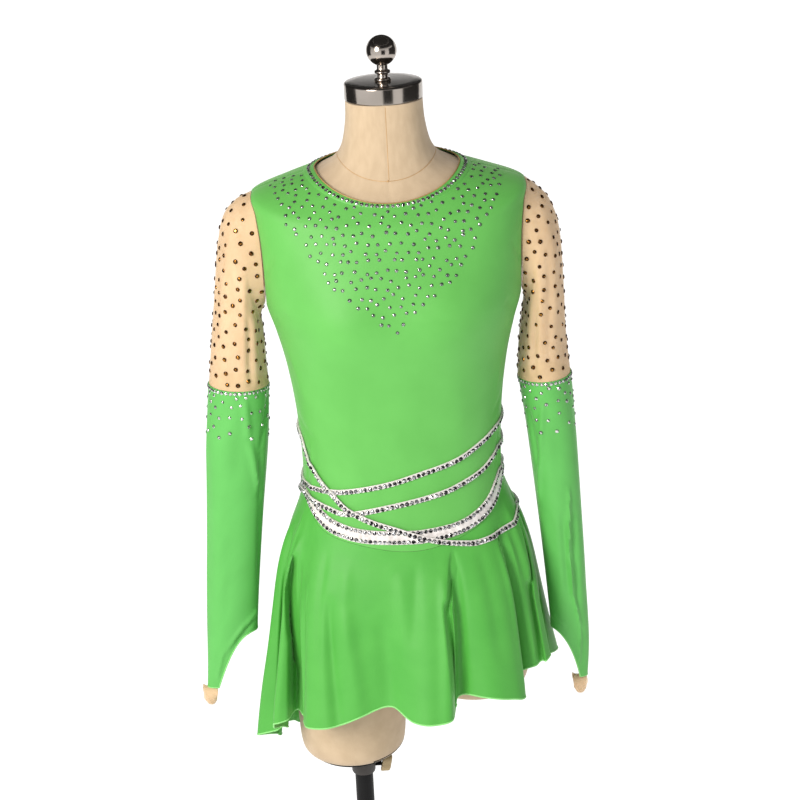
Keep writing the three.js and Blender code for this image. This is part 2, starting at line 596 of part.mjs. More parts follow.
for (const [name, arm] of Object.entries(SLEEVES)) {
  const upper = steps(UPPER_SLEEVE_ROWS, arm.upper.length);
  const lower = steps(LOWER_SLEEVE_ROWS, 1);
  add(`upper_sleeve_${name}`, clothTube((turn, v) => upperSleevePoint(arm, turn, v), upper), nudeMesh);
  add(`lower_sleeve_${name}`, clothTube((turn, v) => lowerSleevePoint(arm, turn, v), lower), green);
  add(`finger_loop_${name}`, fingerLoop(arm), nudeMesh);
}

// Finger loop: a short band of mesh that hangs from the cuff's point, narrower at the bottom
function fingerLoop(arm) {
  const middle = arm.lower[arm.lower.length - 1].y;
  const top = arm.cuffLow - SEAM_GAP - LOOP.thick / 2;
  const centre = (a) => new THREE.Vector2(
    middle + LOOP.half * Math.sin(a) * (1 + LOOP.pinch * Math.cos(a)), top - (LOOP.drop / 2) * (1 - Math.cos(a)));
  const edge = (side, out) => Array.from({ length: LOOP.steps }, (_, i) => {
    const a = (2 * Math.PI * i) / LOOP.steps;
    const along = centre(a + 0.01).sub(centre(a - 0.01)).normalize();
    const p = centre(a);
    const half = (LOOP.wide / 2) * (1 - (LOOP.taper * (1 - Math.cos(a))) / 2);
    return new THREE.Vector3(arm.side * arm.loopX + side * half, p.x - out * along.y, p.y + out * along.x);
  });
  const ends = [1, -1];
  return wall(ends.map((side) => edge(side, LOOP.thick / 2)), ends.map((side) => edge(side, -LOOP.thick / 2)), true);
}

// Skirt: a front and a back with their seams at the sides
function skirtPanel(middle) {
  const outer = [];
  const inner = [];
  const columns = SKIRT_COLUMNS / 2;
  const seamTurn = SEAM_GAP / 2 / FIGURE[WAIST_RING].half / RAD;
  for (let r = 0; r <= SKIRT_ROWS; r++) {
    const share = (r / SKIRT_ROWS) ** 1.25;
    const rowOuter = [];
    const rowInner = [];
    for (let c = 0; c <= columns; c++) {
      const angle = middle + ((2 * c) / columns - 1) * (90 - seamTurn);
      const top = seamHeight(angle);
      const start = SEAM_GAP / 2 / (top - roundHeight(HEM, angle));
      const s = mix(start, 1, share);
      rowOuter.push(skirtOffset(angle, s, 0));
      rowInner.push(skirtOffset(angle, s, -CLOTH));
    }
    outer.push(rowOuter);
    inner.push(rowInner);
  }
  return wall(outer, inner, false);
}
add('skirt_front', skirtPanel(0), green);
add('skirt_back', skirtPanel(180), green);

// Waist strips: each follows its own line over the bodice and the top of the skirt
function strip(table) {
  const lengthRows = [];
  for (let i = 0; i < table.length - 1; i++) {
    const count = Math.max(1, Math.round((table[i + 1].angle - table[i].angle) / STRIP_STEP));
    for (let k = 0; k < count; k++) lengthRows.push(i + k / count);
  }
  lengthRows.push(table.length - 1);
  const outer = [];
  const inner = [];
  for (const row of lengthRows) {
    const angle = atRow(table, 'angle', row);
    const z = atRow(table, 'z', row);
    const out = STRIP_GAP + STRIP_LIFT * clamp(atRow(table, 'lift', row), 0, 1);
    const before = Math.max(row - 0.05, 0);
    const after = Math.min(row + 0.05, table.length - 1);
    const radius = FIGURE[WAIST_RING].half;
    const run = (atRow(table, 'angle', after) - atRow(table, 'angle', before)) * RAD * radius;
    const rise = atRow(table, 'z', after) - atRow(table, 'z', before);
    const length = Math.hypot(run, rise);
    const width = atRow(table, 'wide', row);
    const rowOuter = [];
    const rowInner = [];
    for (const side of table[0].wide > STRIP_STEP + 2 ? [-0.5, 0, 0.5] : [-0.5, 0.5]) {
      const a = angle - (side * width * rise) / length / radius / RAD;
      const h = z + (side * width * run) / length;
      rowOuter.push(waistOffset(a, h, out + STRIP_THICK));
      rowInner.push(waistOffset(a, h, out));
    }
    outer.push(rowOuter);
    inner.push(rowInner);
  }
  return wall(outer, inner, false);
}
for (const [name, table] of Object.entries(STRIPS)) {
  add(name, strip(table), silver);
}

// Form: neck, trunk and two short legs in one, with the pole's hole in the right leg
{
  const inset = -(CLOTH + EASE);
  const rings = [];
  const below = [0, 1, 2, 3, 3.5, 4, 4.5, 5, 5.5, 6, 7, 8];
  const above = [NECKLINE_RING + 0.5, NECKLINE_RING + 1, NECKLINE_RING + 2, NECKLINE_RING + 3, NECK_TOP_RING];
  for (const ring of [...below, ...CHEST_RINGS, ...above]) {
    rings.push(Array.from({ length: FIGURE_COLUMNS }, (_, c) => {
      const angle = (360 * c) / FIGURE_COLUMNS;
      const p = figureOffset(angle, ring, inset);
      if (ring === NECK_TOP_RING) p.z = FORM_Z;
      if (ring === 0) p.z = FIGURE[0].side;
      return p;
    }));
  }
  const leg = (table, x) => stack([...table].reverse().map((r) => Array.from({ length: LEG_SIDES }, (_, c) => {
    const a = (2 * Math.PI * c) / LEG_SIDES;
    return new THREE.Vector3(x + r.half * Math.sin(a), LEG_Y - r.deep * Math.cos(a), r.z);
  })));
  const poleHole = rod(new THREE.Vector3(POLE.x, 0, RIGHT_LEG[RIGHT_LEG.length - 1].z - 10),
    new THREE.Vector3(POLE.x, 0, BORE_TOP), POLE.radius + 2);
  const body = solid(stack(rings)).add(solid(leg(RIGHT_LEG, -LEG_X))).add(solid(leg(LEFT_LEG, LEG_X)))
    .subtract(solid(poleHole));
  add('form_torso', fromSolid(body), cream);
}

// Metalwork on the neck
add('neck_cap', turned([
  [0, CAP.bottom], [CAP.radius - 1.2, CAP.bottom], [CAP.radius, CAP.bottom + 1.2], [CAP.radius, CAP.top - 2.5],
  [CAP.radius - 1.5, CAP.top - 0.7], [CAP.radius - 4, CAP.top], [0, CAP.top]], 0, 0, 32), chrome);
{
  const foot = CAP.top + SEAM_GAP;
  const neck = BALL.z - BALL.radius * Math.cos(18 * RAD);
  const profile = [[0, foot], [9.6, foot], [9.6, foot + 2.6], [6.2, foot + 4], [6.2, foot + 7.5], [9.2, foot + 9],
    [9.2, foot + 12], [BALL.radius * Math.sin(18 * RAD), neck]];
  for (let a = 32; a < 180; a += 16.5) {
    profile.push([BALL.radius * Math.sin(a * RAD), BALL.z - BALL.radius * Math.cos(a * RAD)]);
  }
  profile.push([0, BALL.z + BALL.radius]);
  add('finial', turned(profile, 0, 0, 14), chrome);
}

// Fittings under the right leg: plate, collar and clamp screw
{
  const top = RIGHT_LEG[RIGHT_LEG.length - 1].z - SEAM_GAP;
  const ring = (z) => Array.from({ length: LEG_SIDES }, (_, c) => {
    const a = (2 * Math.PI * c) / LEG_SIDES;
    return new THREE.Vector3(-LEG_X + PLATE.half * Math.sin(a), LEG_Y - PLATE.deep * Math.cos(a), z);
  });
  const hole = rod(new THREE.Vector3(POLE.x, 0, top - 10), new THREE.Vector3(POLE.x, 0, top + 10), POLE.radius + 2);
  add('leg_plate', fromSolid(solid(stack([ring(top - PLATE.thick), ring(top)])).subtract(solid(hole))), black);
}
{
  const bore = POLE.radius + RUNNING;
  const collar = turned([
    [bore, COLLAR.bottom], [13.6, COLLAR.bottom], [14.4, COLLAR.bottom + 2], [15.6, COLLAR.top - 8],
    [17, COLLAR.top - 6], [17, COLLAR.top], [bore, COLLAR.top], [bore, COLLAR.bottom]], POLE.x, 0);
  const screwHole = rod(new THREE.Vector3(POLE.x, 0, SCREW.z), new THREE.Vector3(POLE.x + 30, 0, SCREW.z),
    SCREW.radius + RUNNING, 16);
  add('form_collar', fromSolid(solid(collar).subtract(solid(screwHole))), grey);
}
add('clamp_screw', rod(new THREE.Vector3(POLE.x + POLE.radius + SEAM_GAP, 0, SCREW.z),
  new THREE.Vector3(SCREW.knobStart - SEAM_GAP, 0, SCREW.z), SCREW.radius, 16), black);
{
  const long = SCREW.knobEnd - SCREW.knobStart;
  const knob = new THREE.LatheGeometry([
    [0, 0], [SCREW.knobRadius - 1.5, 0], [SCREW.knobRadius, 1.5], [SCREW.knobRadius, long - 2],
    [SCREW.knobRadius - 2, long], [0, long]].map(([r, z]) => new THREE.Vector2(r, z)), 16);
  knob.rotateZ(-Math.PI / 2);
  knob.translate(SCREW.knobStart, 0, SCREW.z);
  add('clamp_knob', knob, beige);
}

// Stand: pole and base
add('pole', rod(new THREE.Vector3(POLE.x, 0, POLE.bottom), new THREE.Vector3(POLE.x, 0, POLE.top), POLE.radius), black);
{
  const bore = POLE.radius + RUNNING;
  const seat = POLE.bottom - SEAM_GAP;
  add('base', turned([
    [0, 0], [BASE.radius, 0], [BASE.radius, 4], [BASE.radius - 3, 6.5], [BASE.hub + 20, 10], [BASE.hub, 14],
    [BASE.hub - 3, 40], [bore, 40], [bore, seat], [0, seat]], POLE.x, 0, 32), black);
}

export default dress;
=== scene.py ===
"""Figure skating dress on a limbless dress form: its cloth, stones, metalwork, light and camera.

Sizes are in millimetres until a mesh is made. The dress faces -Y, +X is the wearer's left and +Z is up.
Angles round the figure are in degrees from the middle of the front towards +X.
"""
import math

import bmesh
import bpy
import numpy as np
from mathutils import Matrix, Vector


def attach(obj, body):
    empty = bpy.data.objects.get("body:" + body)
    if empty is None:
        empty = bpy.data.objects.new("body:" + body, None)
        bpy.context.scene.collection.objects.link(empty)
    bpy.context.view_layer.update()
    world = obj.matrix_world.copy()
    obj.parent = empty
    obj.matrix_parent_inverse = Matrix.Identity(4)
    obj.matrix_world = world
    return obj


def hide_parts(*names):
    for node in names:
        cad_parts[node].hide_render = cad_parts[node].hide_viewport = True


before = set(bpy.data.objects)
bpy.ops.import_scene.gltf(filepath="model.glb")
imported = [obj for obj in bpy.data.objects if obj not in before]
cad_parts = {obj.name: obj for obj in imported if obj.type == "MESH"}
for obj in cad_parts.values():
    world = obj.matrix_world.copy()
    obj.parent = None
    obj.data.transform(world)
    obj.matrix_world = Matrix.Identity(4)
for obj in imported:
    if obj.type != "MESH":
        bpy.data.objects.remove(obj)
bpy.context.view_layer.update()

MM = 0.001
TINY = 1e-9
ROW_SAMPLES = 3000

# Steps over a surface, in its two values, by which its outward direction is found
BODY_STEPS = (0.5, 0.01)
SKIRT_STEPS = (0.4, 0.01)
SKIRT_FINE_STEPS = (0.16, 0.01)
UPPER_STEPS = (1.0, 0.01)
LOWER_STEPS = (1.0, 0.004)

# Cloth
CLOTH = 1.0
STRIP_GAP = 0.8
STRIP_LIFT = 1.7
STRIP_THICK = 1.0
STRIP_CROWN = 0.35
STRIP_STEP = 3.0
STRIP_MM_PER_DEGREE = 2.1
FORM_INSET = 2.8
SEAM_GAP = 0.36
SEAM_DIP = 0.5
SEAM_DIP_WIDE = 3
HALF_FRONT = 150
HEM_ROLL = 1.1
CUFF_ROLL = 0.9
ELASTIC_RADIUS = 0.75
CORD_RADIUS = 0.55
THREAD_RADIUS = 0.32
SEAM_SINK = 0.45
ROW_CROWDING = 1.1
CORD_GUIDE = (0.13, 0.27, 0.95)

# Sizes of the patterns in the cloth, in millimetres, and the period of a wave texture at scale 1
WAVE_PERIOD = math.tau / 20
KNIT_LOOP = 0.44643
NET_CELL = 1.6129
SATIN_FLOAT = 0.80554
LINEN_THREAD = 1.2083


def table(columns, rows):
    """A short table with named columns, each read as an array."""
    return dict(zip(columns.split(), np.array(rows, float).T))


# Outer face of the dressed figure, from the thighs to the top of the neck, as closed rings
FIGURE = table("side half side_y front front_z back back_z", [
    (694, 128, 3, 74, 694, 84, 694),
    (716, 146, 3, 94, 716, 106, 716),
    (778, 152, 3, 103, 778, 116, 778),
    (850, 143, 2, 100, 850, 107, 850),
    (910, 124, 1, 92, 910, 92, 910),
    (962, 117, 0, 86, 962, 84, 962),
    (1035, 120, 0, 91, 1035, 90, 1035),
    (1095, 128, 0, 99, 1095, 98, 1095),
    (1138, 138, 1, 104, 1138, 104, 1138),
    (1168, 147, 2, 105, 1168, 107, 1168),
    (1206, 153, 4, 103, 1198, 107, 1202),
    (1246, 156.5, 6, 98, 1227, 104, 1238),
    (1280, 158.5, 8, 91, 1251, 97, 1270),
    (1298, 156, 9, 85, 1268, 89, 1293),
    (1311, 122, 10, 77, 1281, 79, 1312),
    (1322, 84, 10, 68, 1294, 66, 1330),
    (1331, 66, 8, 60, 1307, 57, 1342),
    (1347, 54, 4, 52, 1329, 51, 1357),
    (1374, 48, 2, 47.5, 1369, 47.5, 1378),
    (1400, 46.5, 0, 46.5, 1400, 46.5, 1400),
])
WAIST_RING = 5
ARMPIT_RING = 9
SHOULDER_RING = 13
NECKLINE_RING = 15
NECK_TOP_RING = 19
ARMHOLE_MIDDLE = (ARMPIT_RING + SHOULDER_RING) / 2
ARMHOLE_TALL = (SHOULDER_RING - ARMPIT_RING) / 2
ARMHOLE_FRONT = 21
ARMHOLE_BACK = 25
ARMHOLE_SHRINK = 0.02
SEAM_TURN = math.degrees(SEAM_GAP / 2 / FIGURE["half"][WAIST_RING])
ARMPIT_CLEAR = 1.3
SQUARENESS = 0.025
BUST_X = 64
BUST_Z = 1160
BUST_OUT = 15
BUST_WIDE = 56
BUST_TALL = 50

# The turned edge of the neck, from its foot up: rings below the neckline, and how far it stands out
NECK_EDGE = table("below lift", [
    (0.34, 0.15), (0.30, 0.75), (0.18, 0.95), (0.05, 0.85), (0.0, 0.5), (-0.03, 0.1),
])
NECK_ROW_RING = NECKLINE_RING - 0.17

# Where the skirt is sewn on, and the hem
WAIST_SEAM = table("angle z", [
    (-180, 914), (-130, 930), (-90, 941), (-70, 931), (-48, 908), (-25, 896), (3, 887), (27, 898),
    (50, 916), (70, 937), (90, 943), (130, 931),
])
HEM = table("angle z", [
    (-180, 640), (-150, 602), (-120, 590), (-92, 616), (-78, 637), (-62, 667), (-50, 680), (-42, 680),
    (-29, 686), (-20, 697), (-9, 707), (-1, 695), (12, 698), (17, 715), (24, 715), (34, 708),
    (44, 702), (49, 720), (57, 730), (66, 732), (84, 710), (102, 698), (135, 684),
])
SKIRT_SPREAD = table("drop out", [
    (0, 0), (20, 6), (42, 14), (68, 21), (100, 26), (150, 30), (200, 34), (260, 40), (350, 47),
])

BACK_FULLNESS = 0.1
SKIRT_DEPTH_SHARE = 0.88

# Flutes of the skirt: each ridge's angle at the hem, how far it stands out there, its half widths on either
# side, how far round it has moved by the waist, and how sharply it falls away on either side
FLUTES = table("angle out before after lean fall0 fall1", [
    (-86, 29, 13, 8, 4, 2.0, 3.0),
    (-64, 24, 6.5, 6.0, -5, 3.0, 3.4),
    (-36, 28, 11, 17, -7, 4.0, 2.2),
    (5.5, 37, 11, 8.5, 6, 2.4, 4.2),
    (33, 33, 14, 12, 5, 3.2, 4.0),
    (61, 27, 9, 12, 10, 3.2, 2.2),
    (104, 26, 16, 12, -3, 2.0, 2.4),
    (134, 31, 11, 10, -4, 2.8, 3.0),
    (160, 26, 10, 12, 3, 2.0, 2.6),
    (-172, 32, 12, 9, 5, 2.8, 2.4),
    (-146, 27, 10, 12, 4, 2.4, 2.0),
    (-118, 31, 13, 9, -4, 2.4, 3.0),
])
FLUTE_GROWTH = 1.12

# Main creases of the skirt, as ridges (+) and troughs (-): from one angle and share of the drop to another
SKIRT_CREASES = table("angle0 share0 angle1 share1 wide depth", [
    (-62, 0.20, -53, 1.10, 5.0, -7.0),
    (-66, 0.12, -62, 1.10, 5.5, 6.5),
    (-57, 0.28, -46, 1.10, 5.5, 5.0),
    (-78, 0.12, -74, 1.10, 4.5, -6.0),
    (-83, 0.10, -84, 1.10, 6.0, 4.0),
    (-71, 0.02, -70, 0.45, 4.0, 2.2),
    (21, 0.06, 16.5, 1.10, 5.5, -6.5),
    (14, 0.16, 9.5, 1.10, 6.5, 4.5),
    (53, 0.10, 48.5, 1.10, 5.0, -7.5),
    (47, 0.14, 42, 1.10, 5.5, 3.6),
    (58, 0.16, 55, 1.00, 5.0, 3.4),
    (76, 0.16, 68, 1.05, 6.0, -5.0),
    (-36, 0.28, -27, 1.10, 7.0, -6.0),
    (-27, 0.34, -20, 1.08, 8.0, 3.2),
    (-12, 0.40, -9, 1.08, 9.0, -2.4),
    (-29, 0.08, -27, 0.70, 9.0, 2.0),
    (-42, 0.06, -38, 0.65, 6.0, -1.6),
    (-4, 0.10, -3, 0.75, 8.0, 1.8),
    (3, 0.05, 0, 0.55, 6.0, -1.4),
    (35, 0.08, 32, 0.80, 9.0, -1.8),
    (66, 0.06, 62, 0.60, 6.5, 1.6),
    (88, 0.05, 86, 0.95, 7.0, -4.0),
    (118, 0.12, 120, 1.10, 6.0, -7.0),
    (148, 0.05, 147, 0.90, 7.0, -5.0),
    (172, 0.20, 174, 1.10, 6.0, -7.0),
    (200, 0.08, 201, 0.95, 7.0, -5.5),
    (226, 0.15, 229, 1.10, 6.0, -7.0),
    (252, 0.05, 257, 0.95, 6.0, -5.5),
    (126, 0.02, 128, 0.40, 5.5, 2.0),
    (141, 0.10, 139, 0.80, 5.5, 2.6),
    (165, 0.05, 166, 0.55, 6.0, 1.8),
    (187, 0.02, 185, 0.45, 5.5, 2.0),
    (214, 0.12, 217, 0.85, 6.0, 2.4),
    (238, 0.03, 240, 0.50, 5.5, 2.0),
])
# Deep narrow folds where the skirt turns back on itself: the cloth goes in square to the front or the back,
# or out where the depth is negative
SKIRT_TUCKS = table("angle0 share0 angle1 share1 wide depth", [
    (-65, 0.20, -60.5, 0.60, 3.2, 18),
    (-61, 0.44, -56, 1.14, 3.6, 27),
    (-70, 0.24, -66.5, 1.12, 6.5, -8),
    (-53, 0.26, -48.5, 1.12, 7.0, -7),
    (-77.5, 0.30, -75.5, 1.12, 3.4, 9),
    (21.5, 0.06, 13.6, 0.40, 3.4, 7),
    (13.6, 0.30, 12.8, 1.12, 3.6, 12),
    (50.5, 0.10, 47.8, 0.52, 2.6, 8),
    (48, 0.42, 43.5, 1.08, 2.8, 11),
    (74, 0.18, 60.5, 0.60, 3.2, 9),
    (61, 0.50, 55.5, 1.08, 3.4, 12),
    (118, 0.20, 120, 1.12, 4.5, 11),
    (147, 0.34, 146, 1.12, 4.2, 9),
    (173, 0.16, 174.5, 1.12, 4.8, 12),
    (202, 0.30, 201, 1.12, 4.2, 10),
    (226, 0.18, 229, 1.12, 4.6, 11),
    (254, 0.32, 257, 1.12, 4.2, 8),
])
TUCK_TURN = 4
CREASE_ONSET = 6
# Room that the skirt keeps from the dressed hips, and how it is pushed out to keep it
SKIRT_CLEAR = 5.5
WAIST_PRESS = 0.5
PUSH_START = 0.02
PUSH_MOST = 0.2
SKIRT_MM_PER_DEGREE = 2.6
SKIRT_MM_DROP = 230

# Main creases of the bodice: from one angle and height to another, on the front and on the back
BODICE_CREASES = table("angle0 z0 angle1 z1 wide depth", [
    (-60, 1012, -63, 940, 4.5, 1.6),
    (-68, 1000, -71, 950, 4.0, -1.2),
    (80, 1000, 70, 948, 4.5, 1.6),
    (72, 1010, 63, 962, 4.0, -1.2),
    (-80, 1040, -52, 1010, 5.0, -1.1),
    (84, 1062, 58, 1030, 5.0, -1.1),
    (-74, 1150, -52, 1172, 6.0, -1.3),
    (74, 1152, 54, 1176, 6.0, -1.3),
    (-66, 1128, -58, 1060, 9.0, 0.9),
    (66, 1130, 60, 1052, 9.0, 0.9),
    (-26, 1105, -30, 985, 13.0, 0.7),
    (27, 1100, 33, 1000, 13.0, 0.7),
    (-12, 960, -40, 930, 7.0, 0.8),
    (-55, 1245, -70, 1210, 5.0, -1.0),
    (56, 1250, 68, 1215, 5.0, -1.0),
    (108, 1010, 150, 985, 6.0, -1.6),
    (252, 1018, 205, 990, 6.0, -1.6),
    (112, 985, 160, 962, 5.5, 1.4),
    (246, 990, 214, 965, 5.5, 1.3),
    (172, 1000, 176, 930, 8.0, -1.2),
    (188, 1080, 192, 1010, 9.0, 0.9),
    (118, 1160, 140, 1190, 7.0, -1.4),
    (242, 1160, 222, 1192, 7.0, -1.4),
    (132, 1290, 120, 1230, 6.0, 1.0),
    (228, 1288, 240, 1232, 6.0, 1.0),
])
BODICE_MM_PER_DEGREE = 2.2

# The sleeves. An upper ring has an outer and an inner point across the arm, and x is measured out from the
# middle. turn is 0 on the outside of the arm, 90 at the front and 180 on the inside.
UPPER_COLUMNS = "out_x out_z in_x in_z y deep"
LOWER_COLUMNS = "z out_x in_x y deep"
CREASE_COLUMNS = "turn0 z0 turn1 z1 wide depth"
SLEEVES = {
    "right": {
        "side": -1,
        "cuff_high": 762,
        "cuff_low": 688,
        "cuff_curve": 2.4,
        "loop_x": 246,
        "upper": table(UPPER_COLUMNS, [
            (174, 1289, 155, 1152, 9, 46), (190, 1270, 154, 1142, 9, 47), (199, 1233, 153, 1130, 9, 46),
            (207, 1172, 152.5, 1110, 9, 42), (214, 1120, 152, 1090, 9, 38), (220, 1072, 151, 1068, 10, 36),
        ]),
        "lower": table(LOWER_COLUMNS, [
            (1070, 221, 151, 10, 36), (1000, 228, 156, 8, 34), (900, 235, 169, 5, 29),
            (800, 242, 180.5, 2, 23), (725, 246, 187, 0, 15), (685, 249, 190, 0, 9),
        ]),
        "creases": table(CREASE_COLUMNS, [
            (103, 1062, 112, 1008, 3.2, 2.8),
            (112, 1010, 142, 940, 3.4, 3.2),
            (165, 1060, 138, 992, 3.4, -2.4),
            (139, 995, 149, 925, 3.8, -2.8),
            (149, 930, 163, 820, 4.6, -2.0),
            (164, 790, 118, 772, 3.0, 2.4),
            (122, 776, 72, 738, 3.0, 2.6),
            (150, 778, 96, 752, 3.0, -1.8),
            (70, 742, 52, 700, 3.0, 1.8),
            (12, 1040, 18, 780, 3.0, 1.2),
            (58, 1030, 66, 820, 11.0, 1.0),
            (20, 990, 34, 770, 12.0, -1.1),
            (84, 900, 80, 775, 8.0, -0.8),
            (95, 1040, 90, 960, 7.0, -1.0),
            (-118, 1040, -100, 905, 5.5, 2.0),
            (-152, 1000, -138, 850, 5.5, -2.0),
            (-62, 1010, -52, 815, 12.0, 1.2),
            (-92, 880, -98, 770, 6.5, -1.2),
            (-24, 960, -18, 850, 9.0, -0.9),
        ]),
    },
    "left": {
        "side": 1,
        "cuff_high": 742,
        "cuff_low": 675,
        "cuff_curve": 1.9,
        "loop_x": 203,
        "upper": table(UPPER_COLUMNS, [
            (169, 1287, 153, 1152, 9, 46), (184, 1269, 150, 1141, 9, 47), (194, 1234, 147, 1128, 9, 46),
            (197, 1170, 144, 1105, 9, 43), (198, 1115, 142, 1084, 9, 40), (202, 1063, 141, 1060, 10, 38),
        ]),
        "lower": table(LOWER_COLUMNS, [
            (1061, 203, 141, 10, 38), (1000, 206, 149, 9, 35), (900, 209.5, 158.5, 6, 30),
            (800, 213, 166.5, 3, 24), (725, 215, 171, 1, 16), (672, 212, 172, 0, 9),
        ]),
        "creases": table(CREASE_COLUMNS, [
            (64, 930, 80, 838, 2.4, 3.2),
            (80, 842, 76, 785, 2.4, 3.4),
            (77, 790, 60, 742, 2.4, 3.2),
            (62, 746, 66, 690, 2.6, 2.8),
            (106, 1034, 130, 968, 3.2, 2.8),
            (128, 975, 153, 905, 3.4, 2.8),
            (58, 900, 62, 770, 4.6, -3.0),
            (88, 900, 92, 780, 4.6, -2.2),
            (150, 1030, 140, 950, 4.6, -2.8),
            (118, 900, 128, 790, 9.0, -1.0),
            (164, 762, 100, 748, 3.4, 1.6),
            (30, 1000, 28, 800, 11.0, 1.0),
            (84, 1010, 92, 930, 8.0, -1.0),
            (-116, 1030, -102, 900, 5.5, 2.0),
            (-150, 990, -142, 860, 5.5, -1.9),
            (-66, 1000, -56, 830, 11.0, 1.2),
            (-90, 860, -96, 760, 6.5, -1.2),
        ]),
    },
}
SLEEVE_MM_PER_DEGREE = 0.52
SLEEVE_FLATNESS = 0.24
FLATNESS_ONSET = 5

# Soft upright folds of the mesh sleeves: from one turn and row to another
MESH_CREASES = table("turn0 row0 turn1 row1 wide depth", [
    (98, 1.2, 104, 5.9, 5.0, 1.5),
    (74, 2.2, 80, 5.9, 6.0, -1.3),
    (126, 2.4, 126, 5.9, 5.5, 1.5),
    (112, 3.0, 115, 5.9, 4.5, -1.4),
    (48, 1.0, 58, 4.6, 7.0, 1.2),
    (150, 1.5, 148, 5.4, 6.0, -1.6),
    (22, 2.0, 30, 5.5, 9.0, -1.0),
    (-50, 1.4, -58, 5.5, 7.0, 1.3),
    (-84, 2.0, -80, 5.9, 6.0, -1.5),
    (-112, 1.2, -108, 5.6, 5.5, 1.6),
    (-142, 2.2, -146, 5.8, 6.0, -1.5),
    (-20, 2.6, -26, 5.8, 9.0, 0.9),
])
MESH_MM_PER_ROW = 38
MESH_MM_PER_DEGREE = 0.66
CUFF_POINT_SHARE = 0.23
LOOP_DROP = 24
LOOP_HALF = 8
LOOP_PINCH = 0.3
LOOP_WIDE = 18
LOOP_TAPER = 0.2

# The strips round the waist: angle and height of the middle, width, and lift where one passes over another
STRIP_COLUMNS = "angle z wide lift"
STRIPS = {
    "band_upper": table(STRIP_COLUMNS, [
        (-179.6, 966, 6.3, 0), (-120, 957, 6.3, 0), (-80, 953, 6.3, 0), (-46, 955, 6.3, 0),
        (-31, 958, 6.3, 0), (-9, 967, 6.3, 0), (10, 979, 6.3, 0), (29, 990, 6.3, 0), (48, 1005, 6.3, 0),
        (70, 1017, 6.3, 0), (110, 1022, 6.3, 0), (179.6, 1020, 6.3, 0),
    ]),
    "band_middle": table(STRIP_COLUMNS, [
        (-179.6, 898, 6.3, 0), (-160, 903, 6.3, 1), (-120, 926, 6.3, 1), (-77, 942, 6.3, 1),
        (-58, 939, 6.3, 1), (-46, 935, 6.3, 0), (-31, 931, 6.3, 0), (-8, 940, 6.3, 0), (19, 952, 6.3, 0),
        (32, 960, 6.3, 0), (49, 971, 6.3, 0), (73, 988, 6.3, 0), (110, 990, 6.3, 0), (150, 975, 6.3, 0),
        (179.6, 966, 6.3, 0),
    ]),
    "band_cross": table(STRIP_COLUMNS, [
        (-179.6, 1020, 6.3, 0), (-120, 1019, 6.3, 0), (-79, 1013, 6.3, 0), (-66, 992, 6.3, 1),
        (-52, 967, 6.3, 1), (-41, 951, 6.3, 1), (-32, 937, 6.3, 1), (-19, 924, 6.3, 1), (-6, 914, 6.3, 1),
        (4, 905, 6.3, 1), (14, 897, 6.3, 1), (26, 891, 6.3, 0.6), (38, 889, 6.3, 0), (64, 895, 6.3, 0),
        (82, 902, 6.3, 0), (130, 902, 6.3, 0), (179.6, 898, 6.3, 0),
    ]),
    "band_wide_right": table(STRIP_COLUMNS, [
        (-179.3, 928, 10, 0), (-160, 931, 10, 0), (-120, 943, 8, 0), (-90, 945.5, 7, 0), (-72, 942, 10, 0),
        (-57, 929, 15, 0), (-44, 917, 16, 0), (-30, 909, 16, 0), (-16, 905, 16, 0), (6.3, 903.5, 16, 0),
    ]),
    "band_wide_left": table(STRIP_COLUMNS, [
        (5.9, 903.5, 16, 0), (24, 908, 15, 0), (38, 916, 15, 0), (53, 929, 17, 0), (64, 943, 19, 0),
        (74, 954, 18, 0), (90, 957, 14, 0), (130, 944, 10, 0), (160, 931, 10, 0), (179.3, 928, 10, 0),
    ]),
}

# Stones: radius, height and shift of a stone's rings of points, and the shares of its facets whose painted
# highlight or painted shade is swapped out of turn, and of the facets in painted shade on a mostly shaded
# stone
STONE_SIDES = 8
STONE_RINGS = [(1.0, 0.0, 0), (1.0, 0.14, 0), (0.72, 0.38, 0.5), (0.42, 0.5, 0)]
STONE_TILT = 0.05
PAINTED_SHADE_SWAP = 0.3
PAINTED_HIGHLIGHT_SWAP = 0.72
PAINTED_SHADE_SHARE = 0.8
STONE_ROW_PITCH = 6.4
STRIP_STONE = 5.3
NECK_STONE = 4.6
CHEST_STONE = 4.3
SLEEVE_STONE = 5.2
CUFF_STONE = 4.6
CHEST_ACROSS = 12.0
CHEST_DOWN = 9.6
CHEST_BACK = 9
CHEST_TOP_RING = NECKLINE_RING - 0.42
ROW_TRIES = 40000
ROW_JITTER = 2.6
ROW_NEAR = 2.5
STONE_SEAT = 0.1
SLEEVE_TRIES = 5000
CUFF_FADE = 66
CUFF_SPACING = 8.2
CUFF_THINNING = 7.5
SLEEVE_SPACING = 12.2
CHEST_EDGE = table("z left right", [
    (1152, -2, 2), (1166, -16, 8), (1187, -42, 34), (1206, -66, 57), (1220, -78, 76), (1238, -93, 89),
    (1256, -107, 99), (1273, -116, 109), (1290, -124, 119), (1307, -134, 128), (1330, -134, 128),
])

# The form's legs, from the hip to the stump
LEG_X = 76
LEG_Y = 2
LEG_COLUMNS = "z half deep"
RIGHT_LEG = table(LEG_COLUMNS, [
    (770, 60, 66), (700, 66, 75), (640, 65, 73), (612, 63, 70.5), (602, 59, 66.5), (598, 53, 60),
])
LEFT_LEG = table(LEG_COLUMNS, [
    (770, 60, 66), (710, 66, 75), (692, 64.5, 73), (680, 59, 67), (675, 50, 58),
])
NECK_SEAM_RING = 16.55
RING_SEAM_HALF = 0.03
SIDE_SEAM_HALF = 1.1
SEAMS_FROM_RING = 14

